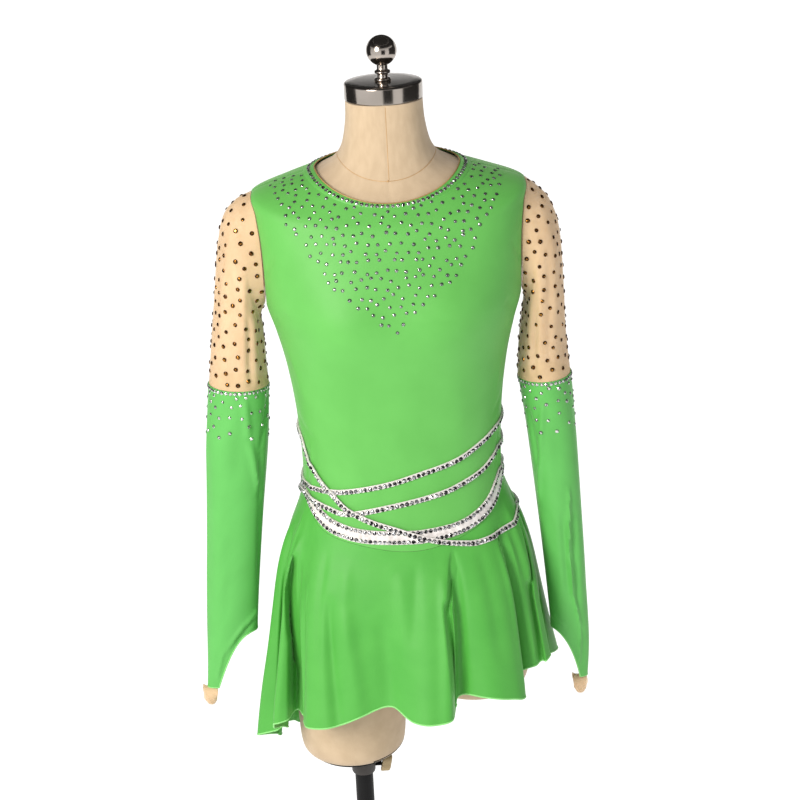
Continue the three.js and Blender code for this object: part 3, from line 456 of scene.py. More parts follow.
# Stand and metalwork
POLE_X = -66
POLE_RADIUS = 11
POLE_TOP = 890
POLE_FOOT = 6.3
RUNNING = 0.4
BORE = POLE_RADIUS + RUNNING
COLLAR_TOP = 594.4
COLLAR_FOOT = 561
SCREW_Z = 570
SCREW_RADIUS = 3
THREADS = 14
KNOB_START = -43.4
KNOB_END = -32
KNOB_RADIUS = 8.5
WING_LEAN = 0.22
CAP_RADIUS = 44.5
CAP_FOOT = 1400.4
CAP_TOP = 1420
BALL_Z = 1454
BALL_RADIUS = 17.4
STEM_RADIUS = 6.2
BASE_RADIUS = 165
PLATE_HALF = 51
PLATE_DEEP = 58
PLATE_THICK = 3
TRIM_RADIUS = 0.9

# Camera, in millimetres, and the frame in pixels
CAMERA_PLACE = (-49.5, -2836.2, 2016.7)
CAMERA_FORWARD = (0.0165, 0.9454, -0.3256)
CAMERA_ROLL = 2.9
FOCAL_PIXELS = 2564
FRAME_PIXELS = 800
SENSOR = 36

# Light, floor and black flags, in metres and watts; the sky is grey overhead and white at the horizon
KEY_PLACE = (-1.55, -2.05, 2.2)
KEY_TARGET = (0, 0, 1.15)
KEY_SIZE = (0.95, 1.2)
KEY_WATTS = 86
SKY = [(0.10, 1.0), (0.5, 0.46)]
FLOOR_REACH = 14
FLOOR_Z = -0.0005
FLAG_REACH = 3.2
FLAG_CEILING = 4.7
FLAGS = table("from to low high", [
    (-142, -88, 0, 2.3), (-3, 26, 0, 1.9), (56, 126, 0, 2.3), (95, 265, 2.05, 4.6), (-95, 95, 2.7, 4.6),
])


# Reading the tables

def smooth(a, b, c, d, t):
    """A smooth run from b to c, led by the values before and after them."""
    return b + 0.5 * t * (c - a + t * (2 * a - 5 * b + 4 * c - d + t * (3 * (b - c) + d - a)))


def at_row(column, row):
    """A column of a table, read smoothly at fractional rows."""
    last = len(column) - 1
    i = np.clip(np.floor(row).astype(int), 0, last - 1)
    return smooth(*(column[np.clip(i + k, 0, last)] for k in (-1, 0, 1, 2)), row - i)


def row_of(column, value):
    """The fractional row at which a steadily rising or falling column reaches a value."""
    rows = np.linspace(0, len(column) - 1, ROW_SAMPLES)
    values = at_row(column, rows)
    if values[0] > values[-1]:
        rows = rows[::-1]
        values = values[::-1]
    return np.interp(value, values, rows)


def half_turns(angle):
    """Angles brought between -180 and 180 degrees."""
    return (angle + 180) % 360 - 180


def round_height(curve, angle):
    """A closed curve of heights round the figure, through unevenly spaced angles."""
    angles = curve["angle"]
    heights = curve["z"]
    n = len(angles)
    a = half_turns(angle)
    i = np.searchsorted(angles, a, side="right") - 1

    def place(k):
        return angles[k % n] + 360 * (k // n)

    def slope(k):
        return (heights[(k + 1) % n] - heights[(k - 1) % n]) / (place(k + 1) - place(k - 1))

    span = place(i + 1) - place(i)
    t = (a - place(i)) / span
    h = t * t * (3 - 2 * t)
    level = heights[i % n] * (1 - h) + heights[(i + 1) % n] * h
    return level + span * (slope(i) * t * (1 - t) ** 2 - slope(i + 1) * t * t * (1 - t))


def mix(a, b, t):
    return a + (b - a) * t


def creases(lines, u, v, u_scale, v_scale, fall=2):
    """Height of a cloth's ridges and troughs, each a soft line that fades out at both its ends. A table's
    first four columns are where a line starts and ends, and a higher fall gives it steeper sides."""
    height = np.zeros(np.broadcast(u, v).shape)
    u0, v0, u1, v1, wide, depth = lines.values()
    for k in range(len(u0)):
        du = (u1[k] - u0[k]) * u_scale
        dv = (v1[k] - v0[k]) * v_scale
        pu = half_turns(u - u0[k]) * u_scale
        pv = (v - v0[k]) * v_scale
        t = np.clip((pu * du + pv * dv) / (du * du + dv * dv), 0, 1)
        away = np.hypot(pu - t * du, pv - t * dv)
        fade = 1 - (2 * t - 1) ** 4
        height += depth[k] * fade * np.exp(-((away / wide[k]) ** fall))
    return height


# Surfaces of the figure and the cloth, each a function of two values

def figure(angle, ring):
    """A point on the outer face of the dressed figure."""
    angle, ring = np.broadcast_arrays(np.asarray(angle, float), np.asarray(ring, float))
    a = np.radians(angle)
    across = (np.sin(a) + SQUARENESS * np.sin(3 * a)) / (1 - SQUARENESS)
    along = (np.cos(a) - SQUARENESS * np.cos(3 * a)) / (1 - SQUARENESS)
    forward = along > 0
    side_y = at_row(FIGURE["side_y"], ring)
    reach = np.where(forward, at_row(FIGURE["front"], ring) + side_y, at_row(FIGURE["back"], ring) - side_y)
    end = np.where(forward, at_row(FIGURE["front_z"], ring), at_row(FIGURE["back_z"], ring))
    x = at_row(FIGURE["half"], ring) * across
    z = mix(at_row(FIGURE["side"], ring), end, np.cos(a) ** 2)
    y = side_y - along * reach
    rise = sum(np.exp(-(((x - bust_x) / BUST_WIDE) ** 2) - ((z - BUST_Z) / BUST_TALL) ** 2)
               for bust_x in (-BUST_X, BUST_X))
    y = y - np.where(forward, BUST_OUT * np.sqrt(np.clip(along, 0, None)) * rise, 0)
    return np.stack([x, y, z], -1)


def figure_ring(z):
    return row_of(FIGURE["side"], z)


def unit(vectors):
    return vectors / np.maximum(np.linalg.norm(vectors, axis=-1, keepdims=True), TINY)


def outward(surface, u, v, steps=BODY_STEPS):
    """The unit direction square to a surface."""
    du = surface(u + steps[0], v) - surface(u - steps[0], v)
    dv = surface(u, v + steps[1]) - surface(u, v - steps[1])
    return unit(np.cross(du, dv))


def moved(surface, u, v, out, steps=BODY_STEPS):
    """A point beside a surface, square to it."""
    return surface(u, v) + outward(surface, u, v, steps) * np.asarray(out, float)[..., None]


def bodice(angle, ring):
    """The outer face of the bodice, with its creases."""
    z = at_row(FIGURE["side"], np.broadcast_arrays(ring, angle)[0])
    return moved(figure, angle, ring, creases(BODICE_CREASES, angle, z, BODICE_MM_PER_DEGREE, 1))


def skirt_plain(angle, share):
    """The outer face of the skirt with its flutes; share runs from the waist seam to the hem."""
    angle, share = np.broadcast_arrays(np.asarray(angle, float), np.asarray(share, float))
    top = round_height(WAIST_SEAM, angle)
    drop = (top - round_height(HEM, angle)) * share
    start = figure(angle, figure_ring(top))
    out = at_row(SKIRT_SPREAD["out"], row_of(SKIRT_SPREAD["drop"], np.maximum(drop, 0)))
    a = np.radians(angle)
    out = out * (1 + BACK_FULLNESS * np.clip(-np.cos(a), 0, None))
    reached = np.clip(share, 0, None)
    for middle, ridge, before, after, lean, fall0, fall1 in zip(*FLUTES.values()):
        turn = half_turns(angle - middle - lean * (1 - reached))
        width = np.where(turn < 0, before, after)
        fall = np.where(turn < 0, fall0, fall1)
        crown = np.exp(-(np.abs(turn / width) ** fall))
        out = out + ridge * reached ** FLUTE_GROWTH * crown
    fall_z = -(start[..., 2] - top) - drop
    return start + np.stack([out * np.sin(a), -out * np.cos(a) * SKIRT_DEPTH_SHARE, fall_z], -1)


def upwards(surface):
    """A skirt surface read from the hem up, so that its outward direction is away from the legs."""
    return lambda angle, share: surface(angle, -share)


def skirt(angle, share):
    """The outer face of the skirt with its creases and tucks, clear of the form's hips."""
    angle, share = np.broadcast_arrays(np.asarray(angle, float), np.asarray(share, float))
    fade = np.clip(share * CREASE_ONSET, 0, 1)
    height = creases(SKIRT_CREASES, angle, share, SKIRT_MM_PER_DEGREE, SKIRT_MM_DROP)
    points = moved(upwards(skirt_plain), angle, -share, height * fade, SKIRT_STEPS)
    tuck = creases(SKIRT_TUCKS, angle, share, SKIRT_MM_PER_DEGREE, SKIRT_MM_DROP, fall=3)
    points[..., 1] += tuck * fade * np.tanh(TUCK_TURN * np.cos(np.radians(angle)))
    ring = figure_ring(points[..., 2])
    side_y = at_row(FIGURE["side_y"], ring)
    back = points[..., 1] > side_y
    reach = np.where(back, at_row(FIGURE["back"], ring) - side_y, at_row(FIGURE["front"], ring) + side_y)
    half = at_row(FIGURE["half"], ring)
    clear = np.where(points[..., 2] > FIGURE["side"][1], SKIRT_CLEAR * fade - WAIST_PRESS, -reach / 2)
    inside = np.hypot(points[..., 0] / (half + clear), (points[..., 1] - side_y) / (reach + clear))
    push = np.where(share > PUSH_START, 1 / np.clip(inside, PUSH_MOST, 1), 1)
    points[..., 0] *= push
    points[..., 1] = side_y + (points[..., 1] - side_y) * push
    return points


def waist(angle, z, out):
    """A point beside the dress near the waist, on the bodice or on the skirt, moved out."""
    angle, z, out = np.broadcast_arrays(angle, z, out)
    seam = round_height(WAIST_SEAM, angle)
    above = moved(bodice, angle, figure_ring(z), out)
    share = np.clip((seam - z) / (seam - round_height(HEM, angle)), 0, 1)
    below = moved(upwards(skirt), angle, -share, out, SKIRT_STEPS)
    return np.where((z >= seam)[..., None], above, below)


def armhole(turn, side):
    """Angle and ring of the armhole's edge, from the shoulder point by the front to the armpit."""
    t = np.radians(turn)
    reach = np.where(np.sin(t) > 0, ARMHOLE_FRONT, -ARMHOLE_BACK)
    angle = side * (90 - reach * np.abs(np.sin(t)) * (1 - ARMHOLE_SHRINK))
    return angle, ARMHOLE_MIDDLE + ARMHOLE_TALL * np.cos(t) * (1 - ARMHOLE_SHRINK)


def upper_plain(arm, turn, row):
    """A mesh sleeve's middle face, from the armhole to the elbow."""
    turn, row = np.broadcast_arrays(np.asarray(turn, float), np.asarray(row, float))
    t = np.radians(turn)
    side = arm["side"]
    across = 0.5 + 0.5 * np.cos(t)
    rings = [moved(figure, *armhole(turn, side), mix(ARMPIT_CLEAR, -CLOTH / 2, across))]
    for out_x, out_z, in_x, in_z, y, deep in zip(*arm["upper"].values()):
        x = side * mix(in_x, out_x, across)
        rings.append(np.stack([x, y - deep * np.sin(t), mix(in_z, out_z, across)], -1))
    rings = np.array([2 * rings[0] - rings[1], *rings, rings[-1]])
    i = np.clip(np.floor(row).astype(int), 0, len(rings) - 4)
    pick = np.indices(row.shape)
    return smooth(*(rings[(i + k, *pick)] for k in range(4)), (row - i)[..., None])


def upper_sleeve(arm, turn, row):
    """A mesh sleeve's middle face, with its soft folds."""
    height = creases(MESH_CREASES, turn, row, MESH_MM_PER_DEGREE, MESH_MM_PER_ROW)
    return moved(lambda u, v: upper_plain(arm, u, v), turn, row, arm["side"] * height, UPPER_STEPS)


def cuff_edge(arm, turn):
    """Height of the slanted cuff round the wrist."""
    inside = 0.5 - 0.5 * np.cos(np.radians(turn))
    share = np.clip((1 - inside) / (1 - CUFF_POINT_SHARE), 0, 1) ** arm["cuff_curve"]
    return mix(arm["cuff_high"], arm["cuff_low"], share)


def lower_plain(arm, turn, share):
    """A lower sleeve's middle face, from the elbow to the slanted cuff."""
    turn, share = np.broadcast_arrays(np.asarray(turn, float), np.asarray(share, float))
    sine = np.sin(np.radians(turn))
    across = 0.5 + 0.5 * np.cos(np.radians(turn))
    top = mix(arm["upper"]["in_z"][-1], arm["upper"]["out_z"][-1], across) - SEAM_GAP
    z = mix(top, cuff_edge(arm, turn), share)
    lower = arm["lower"]
    row = row_of(lower["z"], z)
    x = mix(at_row(lower["in_x"], row), at_row(lower["out_x"], row), across)
    # Below the elbow the tube lies a little flatter than an ellipse
    flat = 1 - SLEEVE_FLATNESS * np.clip(share * FLATNESS_ONSET, 0, 1)
    y = at_row(lower["y"], row) - at_row(lower["deep"], row) * np.sign(sine) * np.abs(sine) ** flat
    return np.stack([arm["side"] * x, y, z], -1)


def lower_sleeve(arm, turn, share):
    """A lower sleeve's middle face, with its creases."""
    z = lower_plain(arm, turn, share)[..., 2]
    height = creases(arm["creases"], turn, z, SLEEVE_MM_PER_DEGREE, 1)
    return moved(lambda u, v: lower_plain(arm, u, v), turn, share, arm["side"] * height, LOWER_STEPS)


# Colours and materials

def colour(hex_value):
    """An sRGB hex value as linear red, green, blue and alpha."""
    parts = [int(hex_value[i:i + 2], 16) / 255 for i in (1, 3, 5)]
    return [p / 12.92 if p <= 0.04045 else ((p + 0.055) / 1.055) ** 2.4 for p in parts] + [1.0]


def node(tree, kind, inputs=None, **settings):
    """Adds a node with its settings; an input is a value, or another node's output to link."""
    made = tree.nodes.new(kind)
    for key, value in settings.items():
        setattr(made, key, value)
    for key, value in (inputs or {}).items():
        if isinstance(value, bpy.types.NodeSocket):
            tree.links.new(value, made.inputs[key])
        else:
            made.inputs[key].default_value = value
    return made


def new_material(name, sockets):
    """A material with a principled shader, some of whose sockets are set; gives the material, its tree and
    the shader."""
    material = bpy.data.materials.new(name)
    material.use_nodes = True
    tree = material.node_tree
    shader = tree.nodes["Principled BSDF"]
    for key, value in sockets.items():
        shader.inputs[key].default_value = value
    return material, tree, shader


def two_tone(tree, shader, dark, light, vector, scale, low=0.35, high=0.65, detail=3.0):
    """Base colour that drifts between two close tones."""
    noise = node(tree, "ShaderNodeTexNoise", {"Vector": vector, "Scale": scale, "Detail": detail})
    ramp = node(tree, "ShaderNodeValToRGB", {"Fac": noise.outputs["Fac"]})
    for element, position, tone in zip(ramp.color_ramp.elements, (low, high), (dark, light)):
        element.position = position
        element.color = colour(tone)
    tree.links.new(ramp.outputs["Color"], shader.inputs["Base Color"])


def raised(tree, shader, height, strength, distance):
    """Gives a shader its fine relief from a height."""
    bump = node(tree, "ShaderNodeBump", {"Height": height, "Strength": strength, "Distance": distance})
    tree.links.new(bump.outputs["Normal"], shader.inputs["Normal"])


def cloth_material(name, dark, light, drift_per_mm, sockets):
    """A cloth's material, with coordinates in millimetres along and across the cloth."""
    material, tree, shader = new_material(name, sockets)
    place = node(tree, "ShaderNodeUVMap", uv_map="cloth").outputs["UV"]
    two_tone(tree, shader, dark, light, place, drift_per_mm)
    return material, tree, shader, place


def green_jersey(name, dark, light):
    """Polyester and elastane tricot: matt, a faint bloom at grazing angles and fine upright wales."""
    material, tree, shader, place = cloth_material(name, dark, light, 0.02, {
        "Roughness": 0.52, "Specular IOR Level": 0.35, "Sheen Weight": 0.25, "Sheen Roughness": 0.4,
        "Sheen Tint": colour("#d4ffc4"),
    })
    # Loops of the knit, in upright wales and level courses
    loops = {"Vector": place, "Scale": WAVE_PERIOD / KNIT_LOOP, "Detail": 1.0}
    wales = node(tree, "ShaderNodeTexWave", {**loops, "Distortion": 0.6}, bands_direction="X")
    courses = node(tree, "ShaderNodeTexWave", {**loops, "Distortion": 0.8}, bands_direction="Y")
    knit = node(tree, "ShaderNodeMath", {0: wales.outputs["Fac"], 1: courses.outputs["Fac"]},
                operation="MULTIPLY")
    raised(tree, shader, knit.outputs["Value"], 0.12, 0.0003)
    return material


def nude_mesh():
    """Nylon stretch mesh: a fine open net that looks solid from a step away, soft and dry."""
    material, tree, shader, place = cloth_material("nylon stretch mesh", "#d8b992", "#e2c49d", 0.03, {
        "Roughness": 0.7, "Specular IOR Level": 0.25, "Sheen Weight": 0.2, "Sheen Roughness": 0.5,
        "Sheen Tint": colour("#ffe9cc"), "Alpha": 0.6,
    })
    # Net cells are 0.8 mm on the real cloth and are drawn twice as wide so that they show
    cells = node(tree, "ShaderNodeTexVoronoi", {"Vector": place, "Scale": 1 / NET_CELL}, feature="F1")
    raised(tree, shader, cells.outputs["Distance"], 0.2, 0.0003)
    return material


def satin():
    """Polyester satin ribbon: white, smooth, with a bright broad gloss."""
    material, tree, shader, place = cloth_material("polyester satin ribbon", "#bdb7b4", "#e0dcda", 0.12, {
        "Roughness": 0.32, "Specular IOR Level": 0.6, "Sheen Weight": 0.15,
    })
    # Satin floats are 0.3 mm apart and are drawn wider so that they show
    threads = {"Vector": place, "Scale": WAVE_PERIOD / SATIN_FLOAT, "Distortion": 0.4}
    floats = node(tree, "ShaderNodeTexWave", threads, bands_direction="Y")
    raised(tree, shader, floats.outputs["Fac"], 0.1, 0.0002)
    return material


def linen():
    """Linen cover stretched over the form: cream, plain weave, dry and slightly slubbed."""
    material, tree, shader, place = cloth_material("plain woven linen", "#b09b80", "#b8a388", 0.05, {
        "Roughness": 0.82, "Specular IOR Level": 0.2, "Sheen Weight": 0.15,
    })
    # Threads are 0.6 mm apart and are drawn twice as wide so that they show
    threads = {"Vector": place, "Scale": WAVE_PERIOD / LINEN_THREAD, "Distortion": 1.5, "Detail": 2.0,
               "Detail Scale": 2.0}
    warp = node(tree, "ShaderNodeTexWave", threads, bands_direction="X")
    weft = node(tree, "ShaderNodeTexWave", threads, bands_direction="Y")
    weave = node(tree, "ShaderNodeMath", {0: warp.outputs["Fac"], 1: weft.outputs["Fac"]}, operation="ADD")
    raised(tree, shader, weave.outputs["Value"], 0.16, 0.0003)
    return material


def plain_finish(name, dark, light, roughness, metallic=0.0, specular=0.5, grain=180.0, strength=0.05):
    """Painted, plated or moulded finish: a faint drift of tone and a fine orange-peel grain."""
    material, tree, shader = new_material(name, {
        "Roughness": roughness, "Metallic": metallic, "Specular IOR Level": specular,
    })
    place = node(tree, "ShaderNodeTexCoord").outputs["Object"]
    two_tone(tree, shader, dark, light, place, 22.0)
    peel = node(tree, "ShaderNodeTexNoise", {"Vector": place, "Scale": grain, "Detail": 2.0})
    raised(tree, shader, peel.outputs["Fac"], strength, 0.0005)
    return material


def facet(name, dark, light, roughness):
    """A foiled glass facet: it mirrors the room, and some facets are painted bright as a painted highlight
    and some dark as painted shade.
    """
    material, tree, shader = new_material(name, {"Roughness": roughness, "Metallic": 0.85})
    place = node(tree, "ShaderNodeTexCoord").outputs["Object"]
    two_tone(tree, shader, dark, light, place, 260.0, 0.42, 0.58, 1.0)
    return material


# Tricot in the dress's green; the skirt's copy is darker, painted shade over the whole skirt, and the
# forearms' copy a slightly cooler tone
GREEN = green_jersey("polyester tricot", "#56a347", "#5aa84b")
SKIRT_GREEN_PAINTED_SHADE = green_jersey("polyester tricot skirt, painted shade", "#479b3a", "#4ca03e")
GREEN_SLEEVE = green_jersey("polyester tricot sleeves", "#54a54d", "#58ab51")
# The rolled edges are a lighter copy of the tricot, a painted highlight along the roll
EDGE_GREEN_PAINTED_HIGHLIGHT = green_jersey("tricot rolled edge, painted highlight", "#78c36b", "#8bd07d")
MESH = nude_mesh()
SATIN = satin()
LINEN = linen()
THREAD = plain_finish("cotton seam thread", "#a98556", "#c09a6b", 0.85)
EDGE = plain_finish("nude elastic edge", "#8d7144", "#a98a5a", 0.75)
# Nickel plate, buffed: a warm grey mirror that shows the studio's flags as dark bands
NICKEL = plain_finish("polished nickel plate", "#a0988f", "#b0a79f", 0.15, metallic=1.0, strength=0.01)
# Powder-coated steel tube: near black with a soft gloss
BLACK = plain_finish("satin powder coat", "#050506", "#0a0a0b", 0.46, specular=0.18, grain=420.0,
                     strength=0.1)
# Moulded ABS: grey and beige, slightly glossy
GREY = plain_finish("grey moulded ABS", "#34312f", "#403c39", 0.5, specular=0.25)
BEIGE = plain_finish("beige moulded ABS", "#a38f6b", "#b09c78", 0.5, specular=0.35)
# Finishes of the stones' tables, painted-highlight facets and painted-shade facets: clear, seen over green
# with a painted green reflection, on the strips, brown
CLEAR, GREENISH, STRIP_STONES, BROWN = [[facet(*finish) for finish in kind] for kind in (
    (("clear stone table", "#aeb6ac", "#dfe3dd", 0.08),
     ("clear stone facet, painted highlight", "#d9d9dc", "#ffffff", 0.06),
     ("clear stone facet, painted shade", "#4a4648", "#7d7a7b", 0.1)),
    (("stone table over green", "#6f8a6e", "#9aa698", 0.26),
     ("stone facet over green, painted highlight", "#969b97", "#d3d5d3", 0.14),
     ("stone facet over green, painted shade", "#43464a", "#66696c", 0.14)),
    (("strip stone table", "#77777b", "#e4e4e6", 0.1),
     ("strip stone facet, painted highlight", "#d4d4d8", "#ffffff", 0.06),
     ("strip stone facet, painted shade", "#161517", "#3d3b3e", 0.1)),
    (("brown stone table", "#5f3a13", "#ae7c36", 0.14),
     ("brown stone facet, painted highlight", "#4c2c0d", "#915f22", 0.1),
     ("brown stone facet, painted shade", "#1a0d04", "#3c240d", 0.12)),
)]


# Making pieces

def finish_piece(name, mesh, materials, nodes=(), body="form", sharp=50):
    """Puts a mesh into the scene on its body, standing for its CAD nodes."""
    mesh.validate()
    mesh.update()
    mesh.shade_smooth()
    if sharp:
        mesh.set_sharp_from_angle(angle=math.radians(sharp))
    for material in materials:
        mesh.materials.append(material)
    obj = in_scene(name, mesh)
    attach(obj, body)
    if nodes:
        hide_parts(*nodes)
    return obj


def in_scene(name, data):
    """An object of this mesh, light or camera in the scene."""
    obj = bpy.data.objects.new(name, data)
    bpy.context.scene.collection.objects.link(obj)
    return obj


def mesh_from(name, points, faces, uvs=None):
    """A mesh from points in millimetres."""
    mesh = bpy.data.meshes.new(name)
    mesh.from_pydata((np.asarray(points) * MM).tolist(), [], faces)
    if uvs is not None:
        layer = mesh.uv_layers.new(name="cloth")
        corners = np.empty(len(mesh.loops), dtype=np.int32)
        mesh.loops.foreach_get("vertex_index", corners)
        layer.data.foreach_set("uv", np.asarray(uvs, np.float32)[corners].ravel())
    return mesh


def grid_faces(rows, columns, closed, start=0, flip=False):
    """Faces of a grid of points; a closed grid joins its last column to its first."""
    last = columns if closed else columns - 1
    r = np.arange(rows - 1)[:, None]
    c = np.arange(last)[None, :]
    d = (c + 1) % columns
    corners = [r * columns + c, r * columns + d, (r + 1) * columns + d, (r + 1) * columns + c]
    quads = np.stack(np.broadcast_arrays(*corners), -1).reshape(-1, 4) + start
    return quads[:, ::-1] if flip else quads


def capped_faces(rows, columns):
    """Faces of a closed grid of points, with one face over each end."""
    low = (rows - 1) * columns
    return grid_faces(rows, columns, True).tolist() + [
        list(range(columns))[::-1], [low + c for c in range(columns)]]


def measured_uv(points):
    """Cloth coordinates in millimetres, from the average lengths of a grid's rows and columns."""
    across = np.linalg.norm(np.diff(points, axis=1), axis=-1).mean(0)
    down = np.linalg.norm(np.diff(points, axis=0), axis=-1).mean(1)
    u = np.concatenate([[0], np.cumsum(across)])
    v = np.concatenate([[0], np.cumsum(down)])
    return np.stack(np.meshgrid(u, v), -1).reshape(-1, 2)


def wall_mesh(name, outer, inner, closed):
    """A closed thin wall from an outer and an inner grid of points."""
    rows, columns = outer.shape[:2]
    count = rows * columns
    points = np.concatenate([outer.reshape(-1, 3), inner.reshape(-1, 3)])
    c = np.arange(columns if closed else columns - 1)
    d = (c + 1) % columns
    low = (rows - 1) * columns
    parts = [
        grid_faces(rows, columns, closed),
        grid_faces(rows, columns, closed, count, flip=True),
        np.stack([c, c + count, d + count, d], -1),
        np.stack([low + c, low + d, low + d + count, low + c + count], -1),
    ]
    if not closed:
        r = np.arange(rows - 1) * columns
        e = r + columns - 1
        parts.append(np.stack([r, r + columns, r + columns + count, r + count], -1))
        parts.append(np.stack([e, e + count, e + columns + count, e + columns], -1))
    faces = np.concatenate(parts)
    first = points[faces[0]]
    normal = np.cross(first[1] - first[0], first[2] - first[0])
    if np.dot(normal, first.mean(0) - points[faces[0][0] + count]) < 0:
        faces = faces[:, ::-1]
    return mesh_from(name, points, faces.tolist(), np.tile(measured_uv(outer), (2, 1)))


def tube(name, path, radius, material, closed=False, sides=8):
    """A round cord along a path of points."""
    path = np.asarray(path, float)
    along = unit(np.roll(path, -1, 0) - np.roll(path, 1, 0) if closed else np.gradient(path, axis=0))
    first = unit(np.cross(along, CORD_GUIDE))
    second = np.cross(along, first)
    a = np.arange(sides) * math.tau / sides
    ring = first[:, None] * np.cos(a)[None, :, None] + second[:, None] * np.sin(a)[None, :, None]
    if closed:
        low = (len(path) - 1) * sides
        faces = grid_faces(len(path), sides, True).tolist()
        faces += [[low + s, low + (s + 1) % sides, (s + 1) % sides, s] for s in range(sides)]
    else:
        faces = capped_faces(len(path), sides)
    mesh = mesh_from(name, (path[:, None] + ring * radius).reshape(-1, 3), faces)
    turn_out(mesh)
    return finish_piece(name, mesh, [material], sharp=60)


def turn_out(mesh):
    """Turns a closed mesh's faces out."""
    points = np.array([v.co for v in mesh.vertices])
    volume = 0.0
    for face in mesh.polygons:
        corner = [points[i] for i in face.vertices]
        for k in range(1, len(corner) - 1):
            volume += np.dot(corner[0], np.cross(corner[k], corner[k + 1]))
    if volume < 0:
        mesh.flip_normals()


def weld(mesh):
    """Joins points that lie in one place, as on an axis or at a closing row."""
    shape = bmesh.new()
    shape.from_mesh(mesh)
    bmesh.ops.remove_doubles(shape, verts=shape.verts, dist=1e-6)
    bmesh.ops.dissolve_degenerate(shape, edges=shape.edges, dist=1e-7)
    shape.to_mesh(mesh)
    shape.free()


def lathe(name, profile, centre, material, nodes, body="form", axis="z", sides=64, lobes=0, lobe=0.0,
          sharp=40):
    """A turned piece from radius and height pairs that start and end on its axis, or close on themselves."""
    a = np.arange(sides) * math.tau / sides
    swell = 1 + lobe * np.cos(lobes * a)
    ring = profile[0] == profile[-1]
    rows = profile[:-1] if ring else profile
    points = np.array([[[r * w * math.cos(t), r * w * math.sin(t), h] for t, w in zip(a, swell)]
                       for r, h in rows])
    if ring:
        points = np.concatenate([points, points[:1]])
    faces = grid_faces(len(points), sides, True)
    points = points.reshape(-1, 3)
    if axis == "x":
        points = points[:, [2, 0, 1]]
    mesh = mesh_from(name, points + np.array(centre, float), faces.tolist())
    weld(mesh)
    turn_out(mesh)
    return finish_piece(name, mesh, [material], nodes, body, sharp)


# Stones

def stone_shape():
    """A flat-backed faceted stone of radius 1, and each face's finish: 0 the table, 1 a painted highlight, 2
    painted shade.
    """
    sides = STONE_SIDES
    a = np.arange(sides) * math.tau / sides
    points = [[r * math.cos(t + shift * math.tau / sides), r * math.sin(t + shift * math.tau / sides), h]
              for r, h, shift in STONE_RINGS for t in a]
    faces = []
    for s in range(sides):
        n = (s + 1) % sides
        faces.append([s, n, sides + n, sides + s])
        faces += [[sides + s, sides + n, 2 * sides + s], [sides + n, 2 * sides + n, 2 * sides + s]]
        faces += [[2 * sides + s, 3 * sides + n, 3 * sides + s],
                  [2 * sides + s, 2 * sides + n, 3 * sides + n]]
    faces.append([3 * sides + s for s in range(sides)])
    faces.append(list(range(sides))[::-1])
    return np.array(points), faces, [2, 1, 2, 1, 2] * sides + [0, 2]


def stones(name, places, normals, diameters, finishes, seed, dark=0.0):
    """Joined stones, each flat on its place, spun and tilted a little, their facets coloured as painted
    highlights and painted shade. dark is the share of them painted mostly in shade."""
    rng = np.random.default_rng(seed)
    shape, faces, kinds = stone_shape()
    normals = normals / np.linalg.norm(normals, axis=-1, keepdims=True)
    normals = normals + rng.normal(0, STONE_TILT, normals.shape)
    normals /= np.linalg.norm(normals, axis=-1, keepdims=True)
    guide = np.where(np.abs(normals[:, 2:]) > 0.9, [[1.0, 0, 0]], [[0, 0, 1.0]])
    first = np.cross(guide, normals)
    first /= np.linalg.norm(first, axis=-1, keepdims=True)
    second = np.cross(normals, first)
    spin = rng.uniform(0, math.tau, len(places))[:, None]
    x_axis = first * np.cos(spin) + second * np.sin(spin)
    y_axis = second * np.cos(spin) - first * np.sin(spin)
    body = shape[None] * (np.broadcast_to(diameters, len(places)) / 2)[:, None, None]
    points = (places[:, None] + body[..., :1] * x_axis[:, None] + body[..., 1:2] * y_axis[:, None]
              + body[..., 2:] * normals[:, None])
    all_faces = [[i + k * len(shape) for i in face] for k in range(len(places)) for face in faces]
    mesh = mesh_from(name, points.reshape(-1, 3), all_faces)
    swap = rng.random((len(places), len(kinds)))
    index = np.tile(np.array(kinds), (len(places), 1))
    # A few facets swap a painted highlight for painted shade, or painted shade for a painted highlight, out
    # of turn
    turned = np.where((index == 2) & (swap > PAINTED_HIGHLIGHT_SWAP), 1, index)
    index = np.where((index == 1) & (swap < PAINTED_SHADE_SWAP), 2, turned)
    # These stones get most of their facets in painted shade
    painted_shade_stones = rng.random(len(places)) < dark
    index = np.where(painted_shade_stones[:, None] & (swap < PAINTED_SHADE_SHARE), 2, index)
    obj = finish_piece(name, mesh, finishes, sharp=0)
    mesh.polygons.foreach_set("material_index", index.ravel().astype(np.int32))
    mesh.shade_flat()
    return obj


def on_surface(surface, u, v, out, steps=BODY_STEPS, sign=1):
    """Places and outward directions on a surface."""
    normal = outward(surface, u, v, steps) * sign
    return surface(u, v) + normal * out, normal


def scatter(surface, us, vs, keep, spacing, tries, seed, taken=None):
    """Places spread evenly but not regularly over part of a surface: each keeps its distance from the others,
    and from those already taken."""
    rng = np.random.default_rng(seed)
    u = rng.uniform(*us, tries)
    v = rng.uniform(*vs, tries)
    points = surface(u, v)
    gaps = np.broadcast_to(spacing(points) if callable(spacing) else spacing, tries)
    near = list(surface(*taken)) if taken else []
    chosen = []
    for k in np.flatnonzero(keep(points)):
        if near and np.min(np.linalg.norm(np.array(near) - points[k], axis=-1)) < gaps[k]:
            continue
        near.append(points[k])
        chosen.append(k)
    return u[chosen], v[chosen]


